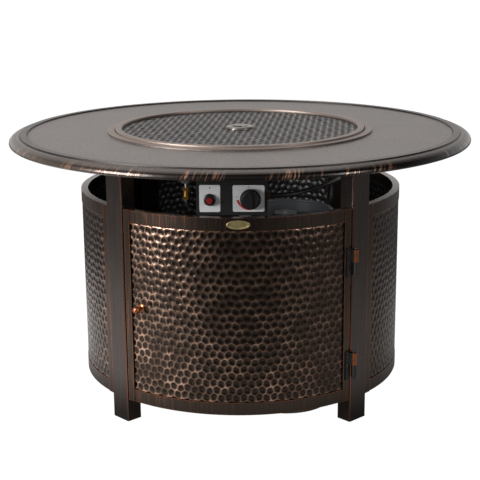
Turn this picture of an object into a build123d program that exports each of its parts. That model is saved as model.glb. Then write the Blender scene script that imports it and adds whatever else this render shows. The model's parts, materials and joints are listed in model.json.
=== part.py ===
from build123d import *
import os
from math import asin, cos, degrees, hypot, radians, sin, sqrt, tan

# A round propane fire table. Millimetres, +Z up, origin on the floor under the middle, door towards -Y.

# Table top
top_diameter = 1067.0
field_height = 622.0
field_thickness = 7.0
border_rise = 3.0
border_width = 17.0
rim_width = 24.5
rim_drop = 20.0
nose_drop = 14.0
rim_tuck = 8.0
rim_wall = 10.0
collar_outer_diameter = 618.0
collar_width = 17.0
collar_rise = 4.5
edge_ease = 1.0
ledge_width = 11.0
ledge_drop = 2.5
pad_height = 8.0
rib_count = 8
rib_thickness = 5.0
rib_height = 9.0

# Lid with its finger pull
lid_gap = 1.5
lid_band = 15.0
lid_thickness = 9.0
lid_recess = 5.5
disc_thickness = 6.0
lid_lip = 1.5
pull_radius = 32.0
pull_rise = 4.5
pull_flange = 2.5
pull_hole_radius = 17.0
pull_wall = 2.5
pull_neck = 9.0
pull_nut_width = 6.0
pull_nut_height = 4.0

# Burner pan and burner
pan_sheet = 1.5
pan_depth = 71.5
pan_lip = 6.0
pan_floor_radius = 232.0
pan_mouth_clearance = 0.6
pan_flange_gap = 2.5
drain_radius = 3.0
drain_circle = 60.0
burner_radius = 140.0
burner_tube_radius = 9.0
burner_tube_sides = 12
burner_foot_height = 12.5
burner_foot_radius = 4.0
burner_foot_count = 4
port_radius = 1.6
port_depth = 4.0
port_count = 24
inlet_angle = 249.0
inlet_tube_radius = 7.0
inlet_hole_clearance = 1.0
elbow_standoff = 23.0
elbow_radius = 9.0
elbow_wrap = 10.0
elbow_below = 12.0
elbow_nut_radius = 11.0
elbow_nut_height = 14.0
elbow_tail = 9.0
elbow_tail_radius = 4.0

# Spark electrode, thermocouple and bracket
igniter_bracket_angle = 205.0
bracket_gap = 16.0
bracket_width = 36.0
bracket_sheet = 1.5
bracket_foot = 18.0
bracket_rise = 34.0
probe_spacing = 16.0
electrode_radius = 4.0
thermocouple_radius = 2.5
probe_length = 34.0
probe_tip = 9.0
probe_tip_radius = 1.2
probe_fit = 0.1

# Lava rocks
rock_size = 20.0
rock_height = 30.0
rock_outer_circle = 196.0
rock_inner_circle = 104.0
rock_outer_count = 24
rock_inner_count = 12
rock_room = 4.0

# Legs
leg_width = 53.0
leg_depth = 38.0
leg_wall = 2.0
leg_corner = 3.0
leg_inner_corner = 1.0
leg_proud = 1.0
glide_height = 5.0
glide_inset = 10.0
glide_plug = 18.0
glide_fit = 0.15
leg_plate_thickness = 4.0
leg_plate_width = 74.0
leg_plate_reach = 32.0
table_bolt_radius = 4.0
table_bolt_head_radius = 6.5
table_bolt_head_height = 5.0
table_bolt_grip = 10.0
table_bolt_spacing = 48.0
bolt_clearance = 0.25

# Curved panels
base_margin = 67.0
panel_bottom = 58.0
panel_height = 436.0
rail_depth = 17.0
rail_step = 1.5
rail_height = 28.0
stile_width = 17.0
sheet_recess = 2.5
sheet_thickness = 2.5
panel_gap = 1.0
panel_bolt_radius = 2.5
panel_bolt_head_radius = 4.0
panel_bolt_head_height = 4.0
panel_bolt_inset = 90.0
panel_bolt_tail = 6.0
panel_bolt_setback = 14.0

# Door
door_gap = 3.0
hinge_upper_height = 376.0
hinge_lower_height = 141.0
knuckle_height = 28.0
knuckle_radius = 5.5
knuckle_inset = 4.5
knuckle_standoff = 6.5
knuckle_gap = 0.3
pin_radius = 2.5
pin_fit = 0.08
pin_ball_radius = 3.2
leaf_thickness = 2.5
leaf_width = 11.0
leaf_half_height = 32.5
leaf_seat = 0.2
leaf_margin = 1.0
leaf_lift = 2.3
hinge_screw_radius = 2.0
hinge_screw_head_radius = 3.0
hinge_screw_head_height = 1.8
hinge_screw_length = 12.0
hinge_screw_spread = 21.0
knob_inset = 27.0
knob_height = 280.0
knob_ball_radius = 8.5
knob_neck_radius = 4.5
knob_base_radius = 8.0
knob_base_height = 3.0
knob_reach = 26.0
knob_seat = 0.1
knob_stud_radius = 2.5
knob_nut_radius = 6.0
knob_nut_height = 4.0
catch_height = 44.0
catch_depth = 14.0
catch_overlap = 18.0
catch_gap = 0.6
pole_depth = 2.4
pole_height = 8.0
pole_spacing = 22.0
strike_thickness = 1.8
strike_height = 36.0
strike_width = 15.0

# Control box, igniter and gas valve
control_setback = 3.0
control_left = -85.0
control_width = 150.5
control_below_axis = 36.0
control_depth = 18.0
control_sheet = 1.5
control_screw_radius = 2.5
control_screw_head_radius = 4.5
control_screw_head_height = 3.0
control_screw_grip = 4.5
control_screw_inset = 22.0
plate_thickness = 1.0
plate_corner = 3.5
control_drop = 26.0
plate_lift = 0.5
igniter_drop = 2.0
igniter_x = -56.5
igniter_plate_width = 44.0
igniter_plate_height = 58.0
igniter_barrel_radius = 10.8
igniter_barrel_length = 46.0
igniter_flange_radius = 13.0
igniter_flange_height = 4.0
igniter_rim_radius = 11.0
igniter_rim_height = 5.0
igniter_fit = 0.3
igniter_nut_radius = 15.0
igniter_nut_height = 5.0
button_radius = 6.6
button_fit = 0.3
button_proud = 5.0
button_sunk = 12.0
button_travel = 5.0
knob_x = 29.5
dial_plate_width = 67.0
dial_plate_height = 57.0
dial_x = 25.5
valve_width = 34.0
valve_length = 42.0
valve_rise = 30.0
valve_boss_radius = 9.0
valve_boss_length = 8.0
valve_port_radius = 8.0
valve_port_length = 9.0
spindle_radius = 4.0
spindle_fit = 0.08
spindle_face_gap = 3.0
push_travel = 4.0
plunger_radius = 3.0
plunger_length = 12.0
plunger_gap = 0.1
knob_radius = 22.0
knob_skirt = 4.0
knob_grip_radius = 18.0
knob_depth = 20.0
knob_lift = 5.0
knob_bar_width = 9.0
knob_bar_height = 3.0
hose_nut_radius = 9.0
hose_nut_length = 14.0

# Gas feed line from the valve to the burner elbow, and the union between them
union_nut_radius = 7.8
union_nut_height = 8.0
union_barrel_radius = 6.2
union_barrel_length = 11.0
feed_radius = 4.8
feed_drop = 26.0
feed_back = 45.0
feed_bend = 20.0

# Gas cylinder on the floor inside the base
cylinder_angle = 311.5
cylinder_clearance = 27.0
cylinder_radius = 152.0
cylinder_height = 457.0
cylinder_wall = 2.8
head_crown = 272.0
head_knuckle = 52.0
lower_head_base = 95.0
cylinder_body_height = 160.0
foot_ring_radius = 100.0
foot_ring_wall = 2.5
foot_ring_flare = 6.0
neck_radius = 13.0
neck_fit = 0.3
cylinder_collar_radius = 106.0
cylinder_collar_wall = 2.5
collar_bead_radius = 3.5
collar_seat = 0.2
hand_hole_count = 3
hand_hole_angle = 62.0
hand_hole_width = 132.0
hand_hole_height = 94.0
hand_hole_corner = 20.0
hand_hole_top = 30.0
cylinder_valve_radius = 16.0
valve_flange_radius = 19.0
valve_flange_height = 6.0
valve_seat = 0.3
outlet_rise = 66.0
outlet_radius = 15.5
outlet_reach = 36.0
valve_body_height = 100.0
stem_radius = 4.0
stem_length = 17.0
stem_fit = 0.1
wheel_radius = 29.0
wheel_height = 14.0
wheel_gap = 3.0
wheel_lobes = 6
wheel_scallop = 9.0
coupling_radius = 23.0
coupling_length = 38.0
coupling_wrap = 14.0
coupling_wall = 12.0
coupling_fit = 0.4
coupling_ribs = 12
coupling_rib_radius = 1.6
nipple_radius = 8.0
nipple_fit = 0.3
regulator_radius = 33.0
regulator_height = 30.0
regulator_gap = 4.0
regulator_vent_radius = 9.0
regulator_vent_height = 7.0
barb_radius = 7.0
barb_length = 17.0

# Gas hose, from the valve round the right side and down to the regulator
hose_radius = 5.0
hose_lead = 40.0
hose_points = [
    (147.0, -258.0, 526.5),
    (185.0, -210.0, 528.5),
    (213.0, -148.0, 526.0),
    (229.0, -84.0, 519.5),
    (233.0, -25.0, 515.0),
    (231.0, 32.0, 512.0),
    (227.0, 87.0, 510.0),
    (226.0, 120.0, 477.0),
    (224.0, 120.0, 430.0),
]
hose_approach = 42.0
hose_turn = 88.0
hose_turn_rise = 1.0
hose_arc_share = 0.45

# Heights and radii that follow from the sizes above
top_radius = top_diameter / 2
border_outer = top_radius - rim_width
border_inner = border_outer - border_width
border_top = field_height + border_rise
rim_bottom = field_height - rim_drop
nose_height = field_height - nose_drop
rim_edge = top_radius - rim_tuck
rim_inner = rim_edge - rim_wall
collar_outer = collar_outer_diameter / 2
collar_inner = collar_outer - collar_width
collar_top = field_height + collar_rise
ledge_inner = collar_inner - ledge_width
ledge_height = field_height - ledge_drop
under_height = field_height - field_thickness
pad_bottom = under_height - pad_height

lid_bottom = ledge_height + pan_sheet
lid_top = lid_bottom + lid_thickness
lid_radius = collar_inner - lid_gap
disc_radius = lid_radius - lid_band
disc_top = lid_top - lid_recess
disc_bottom = disc_top - disc_thickness
lip_radius = disc_radius + lid_lip
pull_neck_radius = pull_hole_radius + pull_wall

pan_mouth_radius = lip_radius + pan_mouth_clearance
pan_flange_radius = collar_inner - pan_flange_gap
pan_floor = lid_bottom - pan_depth
pan_under = pan_floor - pan_sheet
burner_height = pan_floor + burner_foot_height + burner_tube_radius
elbow_out = pan_mouth_radius + elbow_standoff
elbow_bottom = burner_height - elbow_radius - elbow_below
union_top = elbow_bottom - elbow_tail
union_bottom = union_top - union_barrel_length - 2 * union_nut_height

control_face = collar_outer + control_setback
control_axis_height = pan_under - control_drop
control_bottom = control_axis_height - control_below_axis
igniter_height = control_axis_height - igniter_drop

base_radius = collar_outer + base_margin
leg_outer = base_radius + leg_proud
leg_mid = leg_outer - leg_depth / 2
leg_inner = leg_outer - leg_depth
leg_plate_inner = leg_inner - leg_plate_reach
table_bolt_out = leg_inner - leg_plate_reach / 2
leg_half = leg_width / 2

cylinder_out = leg_inner - cylinder_radius - cylinder_clearance
cylinder_x = cylinder_out * cos(radians(cylinder_angle))
cylinder_y = cylinder_out * sin(radians(cylinder_angle))

panel_top = panel_bottom + panel_height
window_bottom = panel_bottom + rail_height
window_height = panel_height - 2 * rail_height
rail_outer = base_radius - rail_step
rail_inner = base_radius - rail_depth
sheet_outer = base_radius - sheet_recess
sheet_inner = sheet_outer - sheet_thickness
panel_end = leg_half + panel_gap
door_end = leg_half + door_gap
panel_bolt_out = base_radius - panel_bolt_setback
panel_bolt_heights = [panel_bottom + panel_bolt_inset, panel_top - panel_bolt_inset]

legs = {"front_left_leg": 225.0, "front_right_leg": 315.0, "back_right_leg": 45.0, "back_left_leg": 135.0}
fixed_panels = {"right_panel": 0.0, "back_panel": 90.0, "left_panel": 180.0}
door_direction = 270.0
hinge_corner = 315.0
catch_corner = 225.0

os.makedirs("parts", exist_ok=True)


def keep(piece, name):
    """Label a finished piece and write it."""
    piece.part.label = name
    export_step(piece.part, f"parts/{name}.step")


def corner_plane(angle, height=0.0):
    """Plane through the table's middle: local Y points out at the angle, local X runs along the rim."""
    across = (sin(radians(angle)), -cos(radians(angle)), 0)
    return Plane(origin=(0, 0, height), x_dir=across, z_dir=(0, 0, 1))


def corner_point(angle, along, out, height):
    """World point from a place along the rim, a distance out and a height."""
    return corner_plane(angle).from_local_coords((along, out, height))


def front_plane(x, z, depth):
    """Plane on the front of the table whose Z axis points out at the user."""
    return Plane(origin=(x, -depth, z), x_dir=(1, 0, 0), z_dir=(0, -1, 0))


def out_plane(angle, out, height):
    """Plane at a radius from the middle whose Z axis points straight out."""
    direction = (cos(radians(angle)), sin(radians(angle)), 0)
    origin = (out * direction[0], out * direction[1], height)
    return Plane(origin=origin, x_dir=(0, 0, 1), z_dir=direction)


def turn(plane, outline, mode=Mode.ADD):
    """Revolve (radius, height) points about the plane's Z axis into the open part."""
    with BuildSketch(Plane(origin=plane.origin, x_dir=plane.x_dir, z_dir=-plane.y_dir)) as section:
        with BuildLine():
            Polyline(*outline, close=True)
        make_face()
    revolve(section.sketch, axis=Axis(plane.origin, plane.z_dir), mode=mode)


def rod(plane, radius, start, end, mode=Mode.ADD):
    """Round bar along the plane's Z axis from start to end."""
    with BuildSketch(plane.offset(start)) as section:
        Circle(radius)
    extrude(section.sketch, amount=end - start, mode=mode)


def curved_band(angle, height, outer, inner, end):
    """Sketch of a band between two legs, whose ends lie the given distance from the legs' middles."""
    apex = end * sqrt(2)
    with BuildSketch(corner_plane(angle, height)) as band:
        Circle(outer)
        Circle(inner, mode=Mode.SUBTRACT)
        with BuildLine():
            Polyline((0, apex), (outer, apex + outer), (-outer, apex + outer), close=True)
        make_face(mode=Mode.INTERSECT)
    return band.sketch


def arc_plate(angle, height, outer, inner, start, end):
    """Sketch of a short curved plate beside a leg, between two distances along the rim."""
    with BuildSketch(corner_plane(angle, height)) as plate:
        Circle(outer)
        Circle(inner, mode=Mode.SUBTRACT)
        with Locations(((start + end) / 2, outer)):
            Rectangle(abs(end - start), outer, mode=Mode.INTERSECT)
    return plate.sketch


# Table top: one casting, turned, with pads for the legs and ribs underneath
table_bolt_places = [
    corner_point(angle, side * table_bolt_spacing / 2, table_bolt_out, pad_bottom)
    for angle in legs.values()
    for side in (-1, 1)
]
control_screw_places = [
    (control_left + control_screw_inset, -control_face + control_depth / 2, under_height),
    (control_left + control_width - control_screw_inset, -control_face + control_depth / 2, under_height),
]

with BuildPart() as tabletop:
    with BuildSketch(Plane.XZ):
        with BuildLine():
            Polyline(
                (rim_edge, rim_bottom),
                (rim_inner, rim_bottom),
                (rim_inner, under_height),
                (ledge_inner, under_height),
                (ledge_inner, ledge_height),
                (collar_inner, ledge_height),
                (collar_inner, collar_top - edge_ease),
                (collar_inner + edge_ease, collar_top),
                (collar_outer - edge_ease, collar_top),
                (collar_outer, collar_top - edge_ease),
                (collar_outer, field_height),
                (border_inner, field_height),
                (border_inner + edge_ease, border_top),
                (border_outer - edge_ease, border_top),
                (border_outer, field_height),
            )
            EllipticalCenterArc((border_outer, nose_height), rim_width, nose_drop, 90, arc_size=-90)
            EllipticalCenterArc((rim_edge, nose_height), rim_tuck, rim_drop - nose_drop, 0, arc_size=-90)
        make_face()
    revolve(axis=Axis.Z)
    for angle in legs.values():
        with BuildSketch(corner_plane(angle, pad_bottom)) as pad:
            with Locations((0, (leg_plate_inner + leg_outer) / 2)):
                Rectangle(leg_plate_width, leg_outer - leg_plate_inner)
        extrude(pad.sketch, amount=pad_height)
    with Locations((0, 0, under_height)):
        with PolarLocations((collar_outer + rim_inner) / 2, rib_count, start_angle=180 / rib_count):
            Box(
                rim_inner - collar_outer + edge_ease,
                rib_thickness,
                rib_height,
                align=(Align.CENTER, Align.CENTER, Align.MAX),
            )
    with Locations(*table_bolt_places):
        Cylinder(
            table_bolt_radius + bolt_clearance,
            2 * (table_bolt_grip + edge_ease),
            mode=Mode.SUBTRACT,
        )
    with Locations(*control_screw_places):
        Cylinder(
            control_screw_radius + bolt_clearance,
            2 * (control_screw_grip + edge_ease),
            mode=Mode.SUBTRACT,
        )
keep(tabletop, "tabletop")

# Lid: a flat rim on the pan's flange, with a sunken disc and a finger hole
with BuildPart() as lid:
    turn(
        Plane.XY,
        [
            (pull_neck_radius + bolt_clearance, disc_bottom),
            (lip_radius, disc_bottom),
            (lip_radius, lid_bottom),
            (lid_radius, lid_bottom),
            (lid_radius, lid_top - edge_ease),
            (lid_radius - edge_ease, lid_top),
            (disc_radius, lid_top),
            (disc_radius, disc_top),
            (pull_neck_radius + bolt_clearance, disc_top),
        ],
    )
keep(lid, "lid")

# Finger pull: a dished bezel whose neck goes through the lid, and its ring nut
with BuildPart() as lid_handle:
    turn(
        Plane.XY,
        [
            (pull_hole_radius, disc_top - pull_neck),
            (pull_neck_radius, disc_top - pull_neck),
            (pull_neck_radius, disc_top),
            (pull_radius, disc_top),
            (pull_radius, disc_top + pull_rise - pull_flange),
            (pull_radius - pull_flange, disc_top + pull_rise),
            (pull_neck_radius + pull_wall, disc_top + pull_rise),
            (pull_hole_radius, disc_top + pull_rise - pull_flange),
        ],
    )
keep(lid_handle, "lid_handle")

with BuildPart() as lid_handle_nut:
    turn(
        Plane.XY.offset(disc_bottom),
        [
            (pull_neck_radius + pin_fit, -pull_nut_height),
            (pull_neck_radius + pull_nut_width, -pull_nut_height),
            (pull_neck_radius + pull_nut_width, 0),
            (pull_neck_radius + pin_fit, 0),
        ],
    )
keep(lid_handle_nut, "lid_handle_nut")

# Burner pan: pressed sheet hung by its flange on the table's ledge, with the inlet hole and drain holes
inlet_axis = Plane(
    origin=(0, 0, burner_height),
    x_dir=(0, 0, 1),
    z_dir=(cos(radians(inlet_angle)), sin(radians(inlet_angle)), 0),
)
with BuildPart() as burner_pan:
    turn(
        Plane.XY,
        [
            (0, pan_under),
            (pan_floor_radius + pan_sheet, pan_under),
            (pan_mouth_radius + pan_sheet, lid_bottom - pan_lip),
            (pan_mouth_radius + pan_sheet, ledge_height),
            (pan_flange_radius, ledge_height),
            (pan_flange_radius, lid_bottom),
            (pan_mouth_radius, lid_bottom),
            (pan_mouth_radius, lid_bottom - pan_lip),
            (pan_floor_radius, pan_floor),
            (0, pan_floor),
        ],
    )
    rod(
        inlet_axis,
        inlet_tube_radius + inlet_hole_clearance,
        burner_radius,
        elbow_out,
        mode=Mode.SUBTRACT,
    )
    with Locations((0, 0, pan_floor)):
        with PolarLocations(drain_circle, 4, start_angle=inlet_angle + 45):
            Cylinder(drain_radius, 4 * pan_sheet, mode=Mode.SUBTRACT)
keep(burner_pan, "burner_pan")

# Burner: a ring of tube with gas ports, a cross tube that runs out as the inlet, and four feet
with BuildPart() as burner_ring:
    with BuildSketch(Plane.XZ):
        with Locations((burner_radius, burner_height)):
            RegularPolygon(
                burner_tube_radius,
                burner_tube_sides,
                major_radius=False,
                rotation=180 / burner_tube_sides,
            )
    revolve(axis=Axis.Z)
    rod(inlet_axis, inlet_tube_radius, -burner_radius, elbow_out - elbow_radius)
    with Locations((0, 0, pan_floor)):
        with PolarLocations(burner_radius, burner_foot_count, start_angle=inlet_angle + 45):
            Cylinder(
                burner_foot_radius,
                burner_foot_height + burner_tube_radius / 2,
                align=(Align.CENTER, Align.CENTER, Align.MIN),
            )
    with Locations((0, 0, burner_height + burner_tube_radius)):
        with PolarLocations(burner_radius, port_count, start_angle=inlet_angle + 180 / port_count):
            Cylinder(port_radius, 2 * port_depth, mode=Mode.SUBTRACT)
keep(burner_ring, "burner_ring")

# Burner elbow: steel fitting on the end of the inlet tube, turned down, with a short tail
elbow_axis = out_plane(inlet_angle, elbow_out, burner_height)
elbow_place = (elbow_axis.origin.X, elbow_axis.origin.Y)
with BuildPart() as burner_elbow:
    rod(elbow_axis, elbow_radius, -elbow_radius - elbow_wrap, 0)
    rod(Plane(origin=(*elbow_place, 0)), elbow_radius, elbow_bottom, burner_height)
    rod(Plane(origin=(*elbow_place, 0)), elbow_tail_radius, union_top, elbow_bottom + edge_ease)
    with Locations((*elbow_place, burner_height)):
        Sphere(elbow_radius)
    with BuildSketch(Plane(origin=(*elbow_place, elbow_bottom))) as elbow_hex:
        RegularPolygon(elbow_nut_radius, 6)
    extrude(elbow_hex.sketch, amount=elbow_nut_height)
    rod(
        elbow_axis,
        inlet_tube_radius + pin_fit,
        -elbow_radius - elbow_wrap - edge_ease,
        -elbow_radius,
        mode=Mode.SUBTRACT,
    )
keep(burner_elbow, "burner_elbow")

# Bracket beside the burner that holds the spark electrode and the thermocouple
bracket_out = burner_radius + burner_tube_radius + bracket_gap
bracket_plane = corner_plane(igniter_bracket_angle, pan_floor)
probe_height = burner_height
with BuildPart() as igniter_bracket:
    with BuildSketch(bracket_plane) as bracket_base:
        with Locations((0, bracket_out + bracket_foot / 2)):
            Rectangle(bracket_width, bracket_foot)
    extrude(bracket_base.sketch, amount=bracket_sheet)
    with BuildSketch(bracket_plane) as bracket_wall:
        with Locations((0, bracket_out + bracket_sheet / 2)):
            Rectangle(bracket_width, bracket_sheet)
    extrude(bracket_wall.sketch, amount=bracket_rise)
    for side, radius in ((-1, electrode_radius), (1, thermocouple_radius)):
        place = corner_point(igniter_bracket_angle, side * probe_spacing / 2, bracket_out, probe_height)
        probe_plane = Plane(
            origin=place,
            z_dir=(cos(radians(igniter_bracket_angle)), sin(radians(igniter_bracket_angle)), 0),
        )
        rod(probe_plane, radius + probe_fit, -bracket_sheet, 2 * bracket_sheet, mode=Mode.SUBTRACT)
keep(igniter_bracket, "igniter_bracket")

for name, side, radius in (
    ("spark_electrode", -1, electrode_radius),
    ("thermocouple", 1, thermocouple_radius),
):
    place = corner_point(igniter_bracket_angle, side * probe_spacing / 2, bracket_out, probe_height)
    probe_plane = Plane(
        origin=place,
        z_dir=(cos(radians(igniter_bracket_angle)), sin(radians(igniter_bracket_angle)), 0),
    )
    with BuildPart() as probe:
        rod(probe_plane, radius, probe_tip - bracket_gap + bracket_sheet, probe_length - bracket_gap)
        rod(probe_plane, probe_tip_radius, 2 * bracket_sheet - bracket_gap, probe_length - bracket_gap)
    keep(probe, name)


def rock_is_clear(x, y, size):
    """True where a rock of this size misses the cross tube, the inlet, the bracket and the feet."""
    direction = (cos(radians(inlet_angle)), sin(radians(inlet_angle)))
    across = abs(x * direction[1] - y * direction[0])
    along = x * direction[0] + y * direction[1]
    misses_tube = across > inlet_tube_radius + size + rock_room or along < -burner_radius
    bracket_middle = corner_point(igniter_bracket_angle, 0, bracket_out, 0)
    bracket_room = bracket_width / 2 + bracket_foot + size + rock_room
    misses_bracket = hypot(x - bracket_middle.X, y - bracket_middle.Y) > bracket_room
    return misses_tube and misses_bracket


# Lava rocks: loose lumps on the pan's floor inside and outside the burner ring
with BuildPart() as lava_rocks:
    for circle, count in ((rock_outer_circle, rock_outer_count), (rock_inner_circle, rock_inner_count)):
        for index in range(count):
            angle = radians(inlet_angle + 360 * (index + 0.5) / count)
            size = rock_size * (1 + 0.12 * sin(2.3 * index))
            height = rock_height * (1 + 0.2 * sin(1.7 * index + circle))
            x, y = circle * cos(angle), circle * sin(angle)
            if not rock_is_clear(x, y, size):
                continue
            layers = []
            for share, level in ((0.75, 0.0), (1.0, 0.45), (0.6, 1.0)):
                with BuildSketch(Plane(origin=(x, y, pan_floor + level * height))) as layer:
                    RegularPolygon(share * size, 6, rotation=37 * index)
                layers.append(layer.sketch)
            loft(layers, ruled=True)
keep(lava_rocks, "lava_rocks")


def panel_bolt_plane(angle, side, height):
    """Plane on a stile's inner side, with Z pointing away from the leg along the bolt."""
    across = corner_plane(angle).x_dir * side
    origin = corner_point(angle, side * (panel_end + stile_width), panel_bolt_out, height)
    return Plane(origin=origin, z_dir=across)


panel_joints = []
for direction in fixed_panels.values():
    panel_joints.append(((direction + 45) % 360, 1))
    panel_joints.append(((direction - 45) % 360, -1))
bolt_length = stile_width + panel_gap + leg_wall + panel_bolt_tail

# Legs: rectangular tube with a welded plate on top that bolts up into the table's pads
for name, angle in legs.items():
    with BuildPart() as leg:
        with BuildSketch(corner_plane(angle, glide_height)) as tube:
            with Locations((0, leg_mid)):
                RectangleRounded(leg_width, leg_depth, leg_corner)
                RectangleRounded(
                    leg_width - 2 * leg_wall,
                    leg_depth - 2 * leg_wall,
                    leg_inner_corner,
                    mode=Mode.SUBTRACT,
                )
        extrude(tube.sketch, amount=pad_bottom - leg_plate_thickness - glide_height)
        with BuildSketch(corner_plane(angle, pad_bottom - leg_plate_thickness)) as plate:
            with Locations((0, (leg_plate_inner + leg_outer) / 2)):
                Rectangle(leg_plate_width, leg_outer - leg_plate_inner)
            with Locations((-table_bolt_spacing / 2, table_bolt_out), (table_bolt_spacing / 2, table_bolt_out)):
                Circle(table_bolt_radius + bolt_clearance, mode=Mode.SUBTRACT)
        extrude(plate.sketch, amount=leg_plate_thickness)
        for corner, side in panel_joints:
            if corner != angle:
                continue
            for height in panel_bolt_heights:
                rod(
                    panel_bolt_plane(angle, side, height),
                    panel_bolt_radius + bolt_clearance,
                    -bolt_length - edge_ease,
                    0,
                    mode=Mode.SUBTRACT,
                )
    keep(leg, name)

# Foot glides: plastic plugs in the legs' lower ends, with a pad that stands on the floor
with BuildPart() as foot_glides:
    for angle in legs.values():
        with BuildSketch(corner_plane(angle)) as pad:
            with Locations((0, leg_mid)):
                RectangleRounded(leg_width - 2 * glide_inset, leg_depth - 2 * glide_inset, leg_corner)
        extrude(pad.sketch, amount=glide_height)
        with BuildSketch(corner_plane(angle, glide_height)) as plug:
            with Locations((0, leg_mid)):
                RectangleRounded(
                    leg_width - 2 * leg_wall - 2 * glide_fit,
                    leg_depth - 2 * leg_wall - 2 * glide_fit,
                    leg_inner_corner,
                )
        extrude(plug.sketch, amount=glide_plug)
keep(foot_glides, "foot_glides")

# Bolts that hold the legs' plates to the table
with BuildPart() as table_bolts:
    for place in table_bolt_places:
        head_level = -leg_plate_thickness
        turn(
            Plane(origin=place),
            [
                (0, head_level - table_bolt_head_height),
                (table_bolt_head_radius, head_level - table_bolt_head_height),
                (table_bolt_head_radius, head_level),
                (table_bolt_radius, head_level),
                (table_bolt_radius, table_bolt_grip),
                (0, table_bolt_grip),
            ],
        )
keep(table_bolts, "table_bolts")

# Fixed panels: a welded frame whose stiles stand a step proud of the rails, with a hammered sheet set back in it
for name, direction in fixed_panels.items():
    with BuildPart() as frame:
        extrude(curved_band(direction, panel_bottom, base_radius, rail_inner, panel_end), amount=panel_height)
        extrude(
            curved_band(
                direction,
                window_bottom,
                base_radius + rail_depth,
                rail_inner - rail_depth,
                panel_end + stile_width,
            ),
            amount=window_height,
            mode=Mode.SUBTRACT,
        )
        extrude(
            curved_band(direction, panel_bottom, base_radius + rail_depth, rail_outer, panel_end + stile_width),
            amount=panel_height,
            mode=Mode.SUBTRACT,
        )
        for angle, side in (((direction + 45) % 360, 1), ((direction - 45) % 360, -1)):
            for height in panel_bolt_heights:
                rod(
                    panel_bolt_plane(angle, side, height),
                    panel_bolt_radius + bolt_clearance,
                    -stile_width - edge_ease,
                    edge_ease,
                    mode=Mode.SUBTRACT,
                )
    keep(frame, f"{name}_frame")
    with BuildPart() as sheet:
        extrude(
            curved_band(direction, window_bottom, sheet_outer, sheet_inner, panel_end + stile_width),
            amount=window_height,
        )
    keep(sheet, f"{name}_sheet")

# Bolts through the panels' stiles into the legs
with BuildPart() as panel_bolts:
    for angle, side in panel_joints:
        for height in panel_bolt_heights:
            turn(
                panel_bolt_plane(angle, side, height),
                [
                    (0, -bolt_length),
                    (panel_bolt_radius, -bolt_length),
                    (panel_bolt_radius, 0),
                    (panel_bolt_head_radius, 0),
                    (panel_bolt_head_radius, panel_bolt_head_height),
                    (0, panel_bolt_head_height),
                ],
            )
keep(panel_bolts, "panel_bolts")

# Door: the same frame and sheet, with a wider gap at the legs
hinge_along = leg_half - knuckle_inset
hinge_out = leg_outer + knuckle_standoff
leaf_start = door_end + leaf_margin
leaf_end = leaf_start + leaf_width
leaf_inner = base_radius + leaf_seat
leaf_outer = leaf_inner + leaf_thickness
web_root = leaf_start + leaf_thickness
web_root_out = sqrt(leaf_inner**2 - web_root**2) + leaf_thickness / 2
web_root_top = sqrt(leaf_outer**2 - web_root**2)
hinge_heights = {"upper": hinge_upper_height, "lower": hinge_lower_height}
screw_along = (leaf_start + leaf_end) / 2
screw_angle = hinge_corner - degrees(asin(screw_along / base_radius))
screw_places = [
    (screw_angle, height + step)
    for height in hinge_heights.values()
    for step in (-hinge_screw_spread, 0, hinge_screw_spread)
]
knob_angle = (
    catch_corner
    + degrees(asin((door_end + stile_width) / sheet_outer))
    + degrees(knob_inset / sheet_outer)
)

with BuildPart() as door_frame:
    extrude(curved_band(door_direction, panel_bottom, base_radius, rail_inner, door_end), amount=panel_height)
    extrude(
        curved_band(
            door_direction,
            window_bottom,
            base_radius + rail_depth,
            rail_inner - rail_depth,
            door_end + stile_width,
        ),
        amount=window_height,
        mode=Mode.SUBTRACT,
    )
    extrude(
        curved_band(door_direction, panel_bottom, base_radius + rail_depth, rail_outer, door_end + stile_width),
        amount=panel_height,
        mode=Mode.SUBTRACT,
    )
    for angle, height in screw_places:
        rod(
            out_plane(angle, leaf_outer, height),
            hinge_screw_radius + pin_fit,
            -hinge_screw_length - edge_ease,
            edge_ease,
            mode=Mode.SUBTRACT,
        )
keep(door_frame, "door_frame")

with BuildPart() as door_sheet:
    extrude(
        curved_band(door_direction, window_bottom, sheet_outer, sheet_inner, door_end + stile_width),
        amount=window_height,
    )
    rod(
        out_plane(knob_angle, sheet_outer, knob_height),
        knob_stud_radius + pin_fit,
        -2 * sheet_thickness,
        sheet_thickness,
        mode=Mode.SUBTRACT,
    )
keep(door_sheet, "door_sheet")

# Door knob: a ball on a neck and a small base, with a stud and a nut behind the sheet
knob_seat_plane = out_plane(knob_angle, sheet_outer + knob_seat, knob_height)
knob_nut_level = -knob_seat - sheet_thickness - knob_nut_height
with BuildPart() as door_knob:
    turn(
        knob_seat_plane,
        [
            (0, knob_nut_level),
            (knob_stud_radius, knob_nut_level),
            (knob_stud_radius, 0),
            (knob_base_radius, 0),
            (knob_base_radius, knob_base_height / 2),
            (knob_neck_radius, knob_base_height),
            (knob_neck_radius, knob_reach - knob_ball_radius),
            (0, knob_reach - knob_ball_radius),
        ],
    )
    with Locations(knob_seat_plane.offset(knob_reach - knob_ball_radius)):
        Sphere(knob_ball_radius)
keep(door_knob, "door_knob")

with BuildPart() as door_knob_nut:
    turn(
        knob_seat_plane,
        [
            (knob_stud_radius + pin_fit, knob_nut_level),
            (knob_nut_radius, knob_nut_level),
            (knob_nut_radius, knob_nut_level + knob_nut_height - knob_seat),
            (knob_stud_radius + pin_fit, knob_nut_level + knob_nut_height - knob_seat),
        ],
    )
keep(door_knob_nut, "door_knob_nut")

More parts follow.
